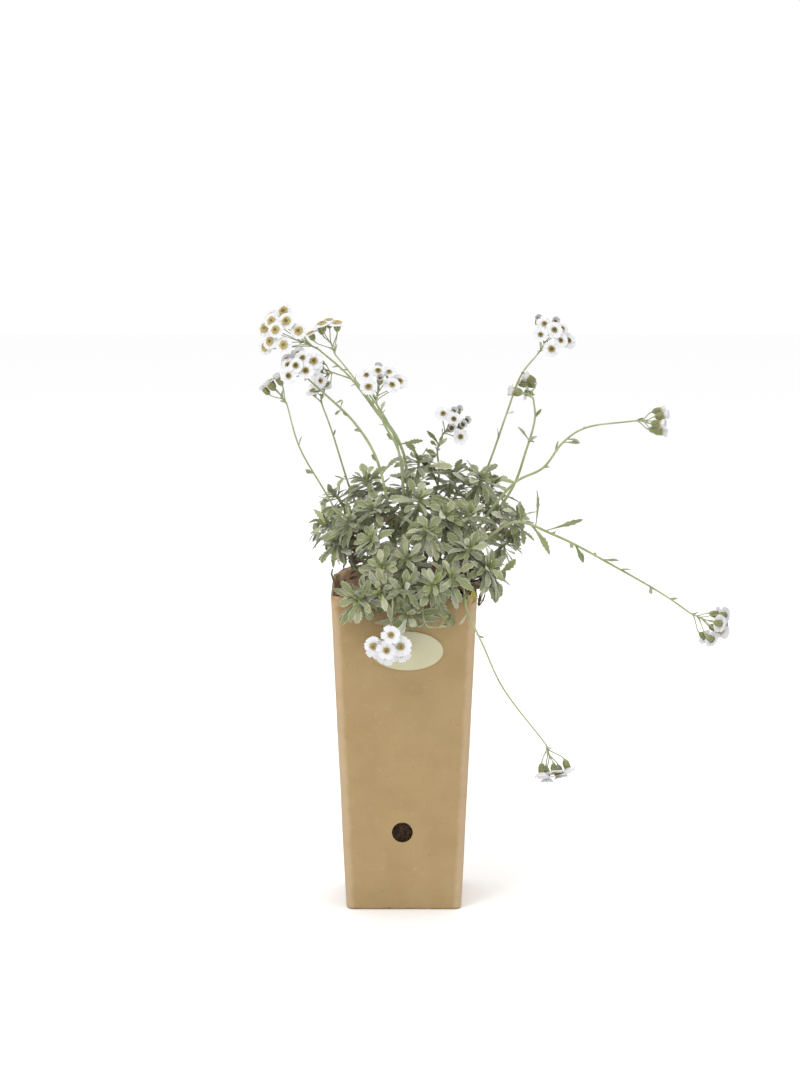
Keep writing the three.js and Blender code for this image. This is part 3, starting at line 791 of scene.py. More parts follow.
@dataclass(frozen=True)
class StalkFinish(Finish):
    """Downy stalk: green in paler and deeper patches, and browner in the pot."""

    name: str
    pale: Colour
    deep: Colour
    foot: Colour
    sheen: float

    HAIR_SCALE = 2100
    BROWN_HEIGHTS = (0.23, 0.17)
    BROWN_HALF_WIDTHS = (0.047, 0.041)

    def make(self) -> Material:
        """Makes the material.

        Returns:
            The material.
        """
        coat = Coat.named(self.name)
        down, hairs = coat.placed(self.kit.felt, self.HAIR_SCALE)
        place = coat.place()
        patches = coat.ramp(coat.noise(place, 90), 0.35, 0.65)
        shade = coat.weighed(down, 0.5, coat.times(patches, 0.5))
        x, y, z = coat.parts(place)
        away = coat.math("MAXIMUM", coat.math("ABSOLUTE", x), coat.math("ABSOLUTE", y))
        low = coat.times(coat.ramp(z, *self.BROWN_HEIGHTS), coat.ramp(away, *self.BROWN_HALF_WIDTHS))
        colour = coat.tinted(coat.blend(shade, self.deep, self.pale), low, 0.8, self.foot)
        return coat.finished(
            colour, hairs, 0.0002, Roughness=0.6, Sheen_Weight=self.sheen, Specular_IOR_Level=0.3
        )


@dataclass(frozen=True)
class RayFinish(Finish):
    """White ray: faint grooves along it, and painted cool shade towards its foot and in the grooves."""

    white: Colour = (0.76, 0.76, 0.775)
    shaded: Colour = (0.5, 0.5, 0.54)

    HAIR_SCALE = 900
    GROOVES = 5.0

    def make(self) -> Material:
        """Makes the material.

        Returns:
            The material.
        """
        coat = Coat.named("ray")
        across, along = coat.plan()
        down, _ = coat.placed(self.kit.felt, self.HAIR_SCALE)
        groove = coat.math("COSINE", coat.times(across, self.GROOVES * math.pi))
        # Painted shade: the ray is darkened towards its foot by the disc and a little along its
        # grooves; the down's faint mottling is its own.
        darkened = coat.weighed(down, 0.12, coat.times(coat.ramp(along, 0.45, 0.0), 0.5))
        darkened = coat.weighed(coat.ramp(groove, 0.2, 1.0), 0.1, darkened)
        colour = coat.blend(darkened, self.white, self.shaded)
        return coat.finished(
            colour, groove, 0.0001, Roughness=0.55, Specular_IOR_Level=0.3, Sheen_Weight=0.15
        )


@dataclass(frozen=True)
class DiscFinish(Finish):
    """Florets of the disc: straw-coloured and open at its edge, olive and shut in its middle."""

    straw: Colour = (0.6, 0.5, 0.22)
    olive: Colour = (0.15, 0.12, 0.03)
    throat: Colour = (0.35, 0.2, 0.05)

    HAIR_SCALE = 2600

    def make(self) -> Material:
        """Makes the material.

        Returns:
            The material.
        """
        coat = Coat.named("disc")
        rise, out = coat.plan()
        down, hairs = coat.placed(self.kit.felt, self.HAIR_SCALE)
        opened = coat.ramp(coat.weighed(coat.growth()[0], 0.6, out), 0.55, 1.1)
        colour = coat.blend(opened, self.olive, self.straw)
        colour = coat.blend(coat.ramp(rise, 0.35, 0.0), colour, self.throat)
        colour = coat.tinted(colour, down, 0.25, self.straw)
        return coat.finished(colour, hairs, 0.0001, Roughness=0.7)


@dataclass(frozen=True)
class BractFinish(Finish):
    """Scales of the cup under a head: olive with a pale down and brown papery edges."""

    olive: Colour = (0.115, 0.13, 0.035)
    pale: Colour = (0.34, 0.36, 0.14)
    brown: Colour = (0.05, 0.035, 0.022)

    HAIR_SCALE = 2300

    def make(self) -> Material:
        """Makes the material.

        Returns:
            The material.
        """
        coat = Coat.named("bract")
        across, along = coat.plan()
        down, hairs = coat.placed(self.kit.felt, self.HAIR_SCALE)
        shade = coat.weighed(down, 0.6, coat.times(coat.growth()[0], 0.4))
        edge = coat.ramp(coat.math("ABSOLUTE", across), 0.55, 0.95)
        rim = coat.math("MAXIMUM", edge, coat.ramp(along, 0.72, 0.98))
        colour = coat.tinted(coat.blend(shade, self.olive, self.pale), rim, 0.85, self.brown)
        return coat.finished(colour, hairs, 0.00015, Roughness=0.65, Sheen_Weight=0.3)


@dataclass(frozen=True)
class BoardFinish(Finish):
    """Kraft pulp board of the pot: fibres, specks, damp stains and a painted highlight down its rounded
    corners.
    """

    kraft: Colour = (0.325, 0.225, 0.104)
    cloud: Colour = (0.36, 0.255, 0.124)
    # Pale fibres, and also the painted highlight on the rounded corners.
    pale: Colour = (0.5, 0.375, 0.25)
    dark: Colour = (0.2, 0.12, 0.05)
    damp: Colour = (0.3, 0.155, 0.06)
    # A pale tan: partly the inner wall's own colour, partly painted light that brightens the shaded
    # inside of the pot.
    inside: Colour = (0.95, 0.7, 0.48)

    FIBRE_SCALE = 760

    def make(self, pot: "Pot", inside: bool) -> Material:
        """Makes the material.

        Args:
            pot: The pot, whose size it follows.
            inside: Whether it is for the inner face of the wall, which is blended to a far paler tan as
                painted light and carries grime.

        Returns:
            The material.
        """
        coat = Coat.named("pulp_board_inside_painted_light" if inside else "pulp_board")
        place = coat.place()
        x, y, z = coat.parts(place)
        fibres, specks, clouds, threads = coat.placed(self.kit.fibre, self.FIBRE_SCALE)
        colour = coat.blend(clouds, self.kraft, self.cloud)
        colour = coat.tinted(colour, fibres, 0.22, self.pale)
        colour = coat.tinted(colour, specks, 0.55, self.dark)
        # Painted highlight: a paler, ragged band down each rounded upright corner, where light catches
        # the curve.
        half = coat.weighed(z, pot.lean, pot.base_width / 2 * MM)
        near = (coat.math("SUBTRACT", half, coat.math("ABSOLUTE", way)) for way in (x, y))
        corner_highlight = coat.weighed(coat.noise(place, 120, 4), 0.0035, coat.math("ADD", *near))
        colour = coat.tinted(colour, coat.ramp(corner_highlight, 0.008, 0.0045), 0.6, self.pale)
        if inside:
            # Painted light: the inner wall is blended almost wholly to the pale inside colour, which
            # brightens it where the mound shades it; the grime stains on it are real.
            grime = coat.ramp(coat.noise(place, 95, 5, 0.7), 0.5, 0.66)
            colour = coat.tinted(coat.blend(0.95, colour, self.inside), grime, 0.25, self.dark)
        rim = pot.height * MM
        high = coat.times(coat.ramp(z, rim - 0.03, rim + 0.004), 0.7)
        wet = coat.ramp(coat.noise(place, 42, 5, 0.65), 0.5, 0.68)
        colour = coat.tinted(colour, wet, high, self.damp)
        low = coat.ramp(coat.weighed(coat.noise(place, 150), 0.003, z), 0.0032, 0.001)
        colour = coat.tinted(colour, low, 0.6, self.dark)
        rough = coat.weighed(clouds, 0.12, 0.72)
        return coat.finished(colour, threads, 0.00025, Roughness=rough, Specular_IOR_Level=0.25)


@dataclass(frozen=True)
class PaperFinish(Finish):
    """Bare sticker paper: smooth and pale, with a darker, yellower edge."""

    cream: Colour = (0.475, 0.448, 0.287)
    light: Colour = (0.515, 0.487, 0.322)
    darkened: Colour = (0.44, 0.39, 0.22)

    FIBRE_SCALE = 900

    def make(self) -> Material:
        """Makes the material.

        Returns:
            The material.
        """
        coat = Coat.named("sticker_paper")
        _, _, clouds, threads = coat.placed(self.kit.fibre, self.FIBRE_SCALE)
        colour = coat.blend(clouds, self.cream, self.light)
        # The outermost ring and the side of the sticker are tinted darker and yellower.
        colour = coat.tinted(colour, coat.ramp(coat.plan()[0], 0.95, 1.0), 0.6, self.darkened)
        return coat.finished(colour, threads, 0.00004, Roughness=0.48)


@dataclass(frozen=True)
class PeatFinish(Finish):
    """Dark crumbly peat with browner fibres."""

    black: Colour = (0.012, 0.008, 0.005)
    brown: Colour = (0.065, 0.037, 0.019)
    straw: Colour = (0.19, 0.11, 0.05)

    FIBRE_SCALE = 700

    def make(self) -> Material:
        """Makes the material.

        Returns:
            The material.
        """
        coat = Coat.named("peat")
        grains = coat.noise(coat.place(), 620, 6, 0.75)
        fibres = coat.placed(self.kit.fibre, self.FIBRE_SCALE)[0]
        colour = coat.blend(coat.ramp(grains, 0.35, 0.7), self.black, self.brown)
        colour = coat.tinted(colour, fibres, 0.8, self.straw)
        return coat.finished(colour, grains, 0.0012, Roughness=0.95, Specular_IOR_Level=0.15)


@dataclass
class Finishes:
    """All finishes of the plant and its pot."""

    pot: "Pot"

    def __post_init__(self) -> None:
        """Makes the shared groups and the materials."""
        kit = Kit()
        self.leaf = LeafFinish(
            kit, "felted_leaf", dark=(0.05, 0.064, 0.01), cool=(0.62, 0.625, 0.54),
            warm=(0.57, 0.565, 0.33), panel=(0.17, 0.207, 0.07), rib=(0.62, 0.615, 0.49),
            fresh=(0.17, 0.235, 0.006),
        ).make()
        self.dry_leaf = LeafFinish(
            kit, "dry_leaf", dark=(0.11, 0.07, 0.05), cool=(0.2, 0.135, 0.105),
            warm=(0.33, 0.22, 0.13), panel=(0.1, 0.055, 0.045), rib=(0.38, 0.27, 0.17),
            fresh=(0.4, 0.36, 0.06), sheen=0.1, relief=0.0005,
        ).make()
        self.stalk = StalkFinish(
            kit, "downy_stalk", pale=(0.38, 0.415, 0.225), deep=(0.2, 0.24, 0.095),
            foot=(0.16, 0.1, 0.055), sheen=0.2,
        ).make()
        self.dry_stalk = StalkFinish(
            kit, "dry_stalk", pale=(0.2, 0.14, 0.1), deep=(0.07, 0.045, 0.03),
            foot=(0.1, 0.06, 0.035), sheen=0.1,
        ).make()
        self.ray = RayFinish(kit).make()
        self.disc = DiscFinish(kit).make()
        self.bract = BractFinish(kit).make()
        self.board, self.board_inside = (
            BoardFinish(kit).make(self.pot, inside) for inside in (False, True)
        )
        self.paper = PaperFinish(kit).make()
        self.peat = PeatFinish(kit).make()


# Working in edit mode
def edit(obj: Object) -> None:
    """Opens an object in edit mode with all of it selected, to work on its faces.

    Args:
        obj: The object.
    """
    select_only(obj)
    bpy.ops.object.mode_set(mode="EDIT")
    bpy.ops.mesh.select_mode(type="FACE")
    bpy.ops.mesh.select_all(action="SELECT")


def looks_up(face: bmesh.types.BMFace) -> bool:
    """Returns whether a face looks up."""
    return face.normal.z > 0.9


def pick(
    obj: Object, kind: str, wanted: Callable[[bmesh.types.BMElemSeq], bool]
) -> None:
    """Selects the faces, edges or corners of an object in edit mode that a test accepts.

    Args:
        obj: The object.
        kind: VERT, EDGE or FACE.
        wanted: The test.
    """
    bpy.ops.mesh.select_mode(type=kind)
    bpy.ops.mesh.select_all(action="DESELECT")
    mesh = bmesh.from_edit_mesh(obj.data)
    for part in {"VERT": mesh.verts, "EDGE": mesh.edges, "FACE": mesh.faces}[kind]:
        if wanted(part):
            part.select_set(True)
    bmesh.update_edit_mesh(obj.data)


def close_edit() -> None:
    """Goes back to object mode."""
    bpy.ops.object.mode_set(mode="OBJECT")


def settle_place() -> None:
    """Moves the active object's place, turn and size into its mesh."""
    bpy.ops.object.transform_apply(location=True, rotation=True, scale=True)


def recalculate_outside(obj: Object) -> None:
    """Merges the doubles of a mesh and turns its faces outwards.

    Args:
        obj: The object.
    """
    edit(obj)
    bpy.ops.mesh.remove_doubles(threshold=1e-7)
    bpy.ops.mesh.normals_make_consistent(inside=False)
    close_edit()


def reshape(obj: Object, change: Callable[[Vector, Vector], Vector]) -> None:
    """Moves each corner of an object by its place and its normal.

    Args:
        obj: The object.
        change: Gives the new place of a corner.
    """
    for vertex in obj.data.vertices:
        vertex.co = change(vertex.co, vertex.normal)
    obj.data.update()


# Leaves
@dataclass(frozen=True)
class Variety:
    """How far a leaf may differ from its fellows, and how it strays from attempt to attempt."""

    tries: int
    most_stray: float
    turn: float
    opening: float
    length: float
    shorter: float
    width: float
    curl: tuple[float, float]


@dataclass(frozen=True)
class Blade:
    """Where one leaf stands and how it bends."""

    root: Array
    along: Array
    up: Array
    length: float = 1
    width: float = 1
    curl: float = 0
    fold: float = 0.3
    sway: float = 0
    twist: float = 0
    thickness: float = 0.5

    def at(self, across: object, along: object, lift: object) -> Array:
        """Finds points of the blade.

        Args:
            across: How far to the side, in millimetres.
            along: How far along, as a share of the length.
            lift: How far above the blade's middle, in millimetres.

        Returns:
            The points.
        """
        across, along, lift = (np.atleast_1d(np.asarray(v, float)) for v in (across, along, lift))
        turn = self.twist * along
        lift = lift + self.fold * np.abs(across)
        turned = across * np.cos(turn) - lift * np.sin(turn) + self.sway * self.length * along**2
        lift = across * np.sin(turn) + lift * np.cos(turn) - self.curl * self.length * along**2
        side = np.cross(self.up, self.along)
        ways = ((self.along, self.length * along), (self.up, lift), (side, turned))
        return self.root + sum(np.outer(amount, way) for way, amount in ways)

    @property
    def tip(self) -> Array:
        """The leaf's tip."""
        return self.at(0, 1, 0)[0]

    def laid(self, shape: Shape) -> Array:
        """Returns the corners of a leaf shape laid on this blade."""
        across, along, lift = shape.points.T
        return self.at(across * self.width, along, lift * self.thickness)


def leaf_at(
    root: Array, axis: Array, angle: float, opening: float, **sizes: float
) -> Blade:
    """Places a leaf on an axis.

    Args:
        root: Where it leaves the axis.
        axis: The direction of the axis.
        angle: The way round the axis, in radians.
        opening: How far it opens from the axis, in radians.
        sizes: Its sizes and bends.

    Returns:
        The leaf's blade.
    """
    side, other = square(axis)
    out = side * math.cos(angle) + other * math.sin(angle)
    along = unit(out * math.sin(opening) + axis * math.cos(opening))
    up = unit(axis - along * axis.dot(along))
    return Blade(root, along, up, **sizes)


@dataclass(frozen=True)
class LeafSeat:
    """A leaf's mean place and size on its stem, from which each leaf varies."""

    root: Array
    axis: Array
    angle: float
    opening: float
    length: float
    width: float
    variety: Variety

    def grown(self, plant: int, key: int, attempt: int) -> Blade:
        """Grows the leaf.

        Args:
            plant: The number of its stem.
            key: The number of the leaf on it.
            attempt: How often it was placed anew.

        Returns:
            The leaf's blade.
        """
        v = self.variety
        chance = {use: draw(plant, key, attempt, use.value) - 0.5 for use in Use}
        stray = 1 + attempt / v.tries
        angle = self.angle + chance[Use.TURN] * min(stray, v.most_stray) * v.turn
        opening = self.opening + chance[Use.OPENING] * stray * v.opening
        return leaf_at(
            self.root, self.axis, angle, math.radians(opening),
            length=self.length * (1 + v.length * chance[Use.LENGTH] - attempt * v.shorter),
            width=self.width * (1 + v.width * chance[Use.WIDTH]),
            curl=v.curl[0] + v.curl[1] * chance[Use.CURL],
        )

    def found(self, corners: NodePoints, plant: int, key: int, tries: int) -> Blade | None:
        """Finds the attempt whose tip the CAD node holds, or gives None."""
        attempts = (self.grown(plant, key, attempt) for attempt in range(tries))
        return next((blade for blade in attempts if corners.holds(blade.tip)), None)


@dataclass(frozen=True)
class LeafForm:
    """A leaf modelled flat, one long and one wide: a narrow stalk that widens to the blade.

    Attributes:
        teeth: How many teeth each edge has.
        depth: How deep the gaps between them are, as a share of the half width.
        stalk: The stalk's width as a share of the leaf's.
        widest: How far along it is widest.
        blunt: How blunt the tip is, from 0 to 1.
        plain: How many stretches the untoothed part has.
    """

    teeth: int = 5
    depth: float = 0.2
    stalk: float = 0.24
    widest: float = 0.68
    blunt: float = 0.55
    plain: int = 4

    TOOTHED_FROM = 0.5
    TOOTHED_TO = 0.97
    WEDGE = 1.8

    def half_width(self, along: float) -> float:
        """Returns half the width at a share of the length, without teeth.

        Args:
            along: The share of the length.

        Returns:
            Half the width.
        """
        if along < self.widest:
            rise = (along / self.widest) ** self.WEDGE
            return 0.5 * mix(self.stalk, 1, rise * rise * (3 - 2 * rise))
        fall = (along - self.widest) / (1 - self.widest)
        return 0.5 * (1 - fall ** mix(1.5, 3.2, self.blunt)) ** 0.8

    def stations(self) -> list[tuple[float, float]]:
        """Returns the places along the leaf and half the width at each.

        Returns:
            Each place with half the width there.
        """
        places = [(self.TOOTHED_FROM * i / self.plain, 1.0) for i in range(self.plain)]
        step = (self.TOOTHED_TO - self.TOOTHED_FROM) / self.teeth
        for tooth in range(self.teeth):
            low = self.TOOTHED_FROM + tooth * step
            places.append((low, 1 - self.depth))
            places.append((low + 0.72 * step, 1 + 0.25 * self.depth))
        places.append((self.TOOTHED_TO, 0.85))
        return [(place, self.half_width(place) * share) for place, share in places]

    def modelled(self, finish: int = 0) -> Shape:
        """Models the leaf as a thin lozenge that is extruded from station to station.

        Args:
            finish: The number of its finish.

        Returns:
            The leaf.
        """
        obj = primitive(
            bpy.ops.mesh.primitive_circle_add, vertices=4, radius=1, fill_type="NGON",
            rotation=(math.pi / 2, 0, 0),
        )
        settle_place()
        edit(obj)
        stations = self.stations()
        bpy.ops.transform.resize(value=(stations[0][1], 1, 0.5), center_override=(0, 0, 0))
        for (low, before), (high, half) in zip(stations, stations[1:]):
            bpy.ops.mesh.extrude_region_move(TRANSFORM_OT_translate={"value": (0, high - low, 0)})
            bpy.ops.transform.resize(value=(half / before, 1, 0.93), center_override=(0, high, 0))
        bpy.ops.mesh.extrude_region_move(TRANSFORM_OT_translate={"value": (0, 1 - high, 0)})
        bpy.ops.transform.resize(value=(0, 1, 0), center_override=(0, 1, 0))
        close_edit()
        recalculate_outside(obj)
        return Shape.taken(finish, lambda p: np.column_stack((np.sign(p[:, 0].round(5)), p[:, 1])))


class LeafForms:
    """The leaf forms of the plant, each modelled once."""

    def __init__(self) -> None:
        """Models the leaves."""
        self.broad = [
            LeafForm(teeth=3, depth=0.24, stalk=0.2).modelled(),
            LeafForm(teeth=4, depth=0.28, stalk=0.18, blunt=0.65).modelled(),
            LeafForm(teeth=4, depth=0.2, widest=0.64, blunt=0.35).modelled(),
        ]
        self.narrow = [
            LeafForm(teeth=4, depth=0.22, stalk=0.34, widest=0.55, blunt=0.2).modelled(),
            LeafForm(teeth=3, depth=0.28, stalk=0.4, widest=0.5, blunt=0.1).modelled(),
        ]
        self.young = [
            LeafForm(teeth=3, depth=0.14, stalk=0.45, widest=0.6, blunt=0.5, plain=2).modelled(),
        ]

    def pick(self, forms: list[Shape], plant: int, key: int) -> Shape:
        """Returns one of some forms by a draw."""
        return forms[int(draw(plant, key, 0, Use.FORM.value) * len(forms))]


@dataclass(frozen=True)
class Foliage:
    """Adds leaves to a pile and keeps them clear of the pot and soil."""

    forms: LeafForms
    pot: "Pot"
    soil: "Soil"
    finishes: Finishes

    SAMPLES = np.linspace(0.25, 1, 5)
    MEAN_GROWTH = 0.83
    GROWTH_SPREAD = 0.5
    STRAY = 0.6
    WIDTH_SPREAD = 0.4
    SWAY = 0.5
    TWIST = 2.4
    CURL = 0.6
    CLEARANCE = 0.8
    ABOVE_SOIL = 0.5

    def is_clear(self, blade: Blade) -> bool:
        """Tells whether a leaf stays on one side of the pot's wall and above the soil.

        Args:
            blade: Where the leaf stands.

        Returns:
            Whether it is clear.
        """
        sides = set()
        for x, y, z in blade.at(0, self.SAMPLES, 0):
            if z > self.pot.height + 1:
                continue
            depth = self.pot.half_width(z) - max(abs(x), abs(y))
            in_soil = depth > 0 and z < self.soil.top(x, y) + self.ABOVE_SOIL
            if in_soil or -self.CLEARANCE < depth < self.pot.wall + self.CLEARANCE:
                return False
            sides.add(depth > 0)
        return len(sides) < 2

    def add(
        self, pile: Pile, blade: Blade, forms: list[Shape], plant: int, key: int,
        youth: float = 0, finish: int = 0, light: float = 1,
    ) -> None:
        """Adds a leaf with its own form, tone, length, sway, twist and curl.

        Args:
            pile: What it is added to.
            blade: Where it stands.
            forms: The forms that it may have.
            plant: The number of its stem.
            key: The number of the leaf on it.
            youth: How young it is.
            finish: The number of its finish.
            light: Painted shade for leaves deep or low in the mound, from 0 for the darkest to 1 for
                none; it scales the leaf's tone.
        """
        shape = self.forms.pick(forms, plant, key)
        chance = {use: draw(plant, key, 0, use.value) - 0.5 for use in Use}
        grown = self.MEAN_GROWTH + self.GROWTH_SPREAD * chance[Use.PLACE]
        tone, warmth, aside, lift, wide = (
            draw(plant, key, attempt, Use.TONE.value) for attempt in range(5)
        )
        side = np.cross(blade.up, blade.along)
        along = unit(blade.along + ((aside - 0.5) * side + (lift - 0.5) * blade.up) * self.STRAY)
        swayed = replace(
            blade, along=along, up=unit(blade.up - along * along.dot(blade.up)),
            length=blade.length * grown, width=blade.width * (1 + self.WIDTH_SPREAD * (wide - 0.35)),
            sway=self.SWAY * chance[Use.SWAY], twist=self.TWIST * chance[Use.TWIST],
            curl=blade.curl + self.CURL * chance[Use.SPIN],
        )
        # The tone is scaled by light, which paints shade onto leaves deep in the mound.
        pile.add(shape.dressed(finish), swayed.laid(shape), tone * light, youth, warmth)


# Pot and soil
@dataclass
class Pot:
    """The tall square pot of kraft-brown pulp board."""

    height: float = 200
    top_width: float = 90
    base_width: float = 72
    wall: float = 1.2
    corner: float = 5.2
    foot_round: float = 1.4
    back_rise: float = 7
    back_peak_x: float = -14
    back_reach: tuple[float, float] = (30, 58)
    hole: tuple[float, float, float] = (-1, 50, 6.5)
    drain_radius: float = 4
    drain_inset: float = 13
    notch: tuple[float, float, float] = (-9, 3.2, 1.8)
    unevenness: float = 0.22

    @property
    def lean(self) -> float:
        """How far each wall leans out for each millimetre of height."""
        return (self.top_width - self.base_width) / 2 / self.height

    def half_width(self, z: float) -> float:
        """Returns half the outer width at a height."""
        return self.base_width / 2 + self.lean * z

    def rim_lift(self, x: float, y: float) -> float:
        """Returns how far the rim stands above its usual height: the back wall rises a little.

        Args:
            x: The place across.
            y: The place from front to back.

        Returns:
            The lift.
        """
        if y < self.half_width(self.height) - 6.5:
            return 0
        away = (x - self.back_peak_x) / self.back_reach[x > self.back_peak_x]
        return self.back_rise * max(0, 1 - away * away)

    def block(self, low: float, high: float, inset: float) -> Object:
        """Models a square block with rounded upright edges that follows the pot's walls.

        Args:
            low: The height of its underside.
            high: The height of its top.
            inset: How far it stays inside the outer faces.

        Returns:
            The block, at the origin.
        """
        base, top = (self.half_width(z) - inset for z in (low, high))
        obj = primitive(
            bpy.ops.mesh.primitive_cube_add, size=2 * MM,
            location=(0, 0, (low + high) / 2 * MM), scale=(base, base, (high - low) / 2),
        )
        settle_place()
        edit(obj)
        pick(obj, "FACE", looks_up)
        grow = top / base
        bpy.ops.transform.resize(value=(grow, grow, 1), center_override=(0, 0, high * MM))
        pick(obj, "EDGE", lambda e: abs(e.verts[0].co.z - e.verts[1].co.z) > (high - low) / 2 * MM)
        bpy.ops.mesh.bevel(offset=(self.corner - inset) * MM, segments=6, affect="EDGES")
        return obj

    def sliced(self, axis: int, places: Sequence[float]) -> None:
        """Cuts rings of edges round the object in edit mode, square to an axis.

        Args:
            axis: The number of the axis.
            places: Where along it the rings lie.
        """
        normal = tuple(float(i == axis) for i in range(3))
        for place in places:
            bpy.ops.mesh.select_all(action="SELECT")
            point = tuple(n * place * MM for n in normal)
            bpy.ops.mesh.bisect(plane_co=point, plane_no=normal)

    def shell(self) -> Object:
        """Models the wall and floor, open at the top, with the raised back rim.

        Returns:
            The shell, still without thickness.
        """
        obj = self.block(0, self.height, 0)
        pick(obj, "FACE", looks_up)
        bpy.ops.mesh.delete(type="FACE")
        pick(obj, "EDGE", lambda e: all(v.co.z < MM for v in e.verts))
        bpy.ops.mesh.bevel(offset=self.foot_round * MM, segments=3, affect="EDGES")
        self.sliced(2, (25, 50, 75, 100, 125, 150, 175, 190, 197))
        for axis in (0, 1):
            self.sliced(axis, range(-36, 37, 6))
        close_edit()

        def moulded(place: Vector, normal: Vector) -> Vector:
            """Gives a corner the board's unevenness, and lifts it on the rim.

            Args:
                place: Where it is.
                normal: The way that the surface faces.

            Returns:
                Where it goes.
            """
            x, y, z = place / MM
            bulge = noise.noise(Vector((x, y, z)) / 21) * self.unevenness
            out = Vector((normal.x, normal.y, 0)) * bulge * MM
            if z < self.height - 0.1:
                return place + out
            lift = self.rim_lift(x, y) + noise.noise(Vector((x, y, 7)) / 9) * 0.5
            return place + out + Vector((0, 0, lift * MM))

        reshape(obj, moulded)
        return obj

    def punch(
        self, obj: Object, add: Callable[..., set[str]], place: Point, **settings: object
    ) -> None:
        """Cuts a primitive at a place out of an object.

        Args:
            obj: The object.
            add: The operator that adds the primitive.
            place: Its place in millimetres.
            settings: Its further settings.
        """
        cutter = primitive(add, location=tuple(v * MM for v in place), **settings)
        apply_modifier(obj, "BOOLEAN", operation="DIFFERENCE", solver="EXACT", object=cutter)
        bpy.data.objects.remove(cutter)

    def build(self, finishes: Finishes) -> None:
        """Models the pot and dresses it.

        Args:
            finishes: The finishes.
        """
        obj = self.shell()
        obj.name = "pulp_pot"
        for finish in (finishes.board, finishes.board_inside):
            obj.data.materials.append(finish)
        apply_modifier(
            obj, "SOLIDIFY", thickness=self.wall * MM, offset=-1, use_even_offset=True,
            material_offset=1,
        )
        apply_modifier(
            obj, "BEVEL", width=0.4 * MM, segments=2, limit_method="ANGLE", angle_limit=math.radians(60)
        )
        cylinder, cone = bpy.ops.mesh.primitive_cylinder_add, bpy.ops.mesh.primitive_cone_add
        x, z, radius = self.hole
        self.punch(
            obj, cylinder, (x, -self.half_width(z), z), vertices=48, radius=radius * MM,
            depth=20 * MM, rotation=(math.pi / 2, 0, 0),
        )
        at = self.base_width / 2 - self.drain_inset
        for place in ((x, y, 0) for x in (-at, at) for y in (-at, at)):
            self.punch(obj, cylinder, place, vertices=24, radius=self.drain_radius * MM, depth=8 * MM)
        x, width, height = self.notch
        self.punch(
            obj, cone, (x, -self.half_width(0), 0), vertices=7, radius1=width / 2 * MM,
            radius2=0.6 * MM, depth=2 * height * MM,
        )
        finish_piece(obj, ["pot"], sharp=40)


@dataclass
class Sticker:
    """The bare oval sticker on the front wall."""

    width: float = 44.5
    height: float = 24.5
    x: float = 2
    z: float = 166
    proud: float = 0.7
    thickness: float = 0.5
    rings: tuple[float, float, float] = (0.04, 0.5, 0.3)

    def build(self, pot: Pot, finishes: Finishes) -> None:
        """Models the sticker on the pot and dresses it.

        Args:
            pot: The pot.
            finishes: The finishes.
        """
        obj = primitive(bpy.ops.mesh.primitive_cylinder_add, vertices=96, radius=1, depth=1)
        obj.name = "bare_sticker"
        edit(obj)
        pick(obj, "FACE", looks_up)
        for ring in self.rings:
            bpy.ops.mesh.inset(thickness=ring)
        close_edit()
        plan = obj.data.uv_layers.new(name=PLAN)
        for loop, spot in zip(obj.data.loops, plan.data):
            x, y, _ = obj.data.vertices[loop.vertex_index].co
            spot.uv = (math.hypot(x, y), 0)
        obj.scale = (self.width / 2 * MM, self.height / 2 * MM, self.thickness * MM)
        obj.rotation_euler = (math.pi / 2 + math.atan(pot.lean), 0, 0)
        middle = -pot.half_width(self.z) - self.proud + self.thickness / 2
        obj.location = (self.x * MM, middle * MM, self.z * MM)
        settle_place()
        obj.data.materials.append(finishes.paper)
        finish_piece(obj, ["label"], sharp=35)


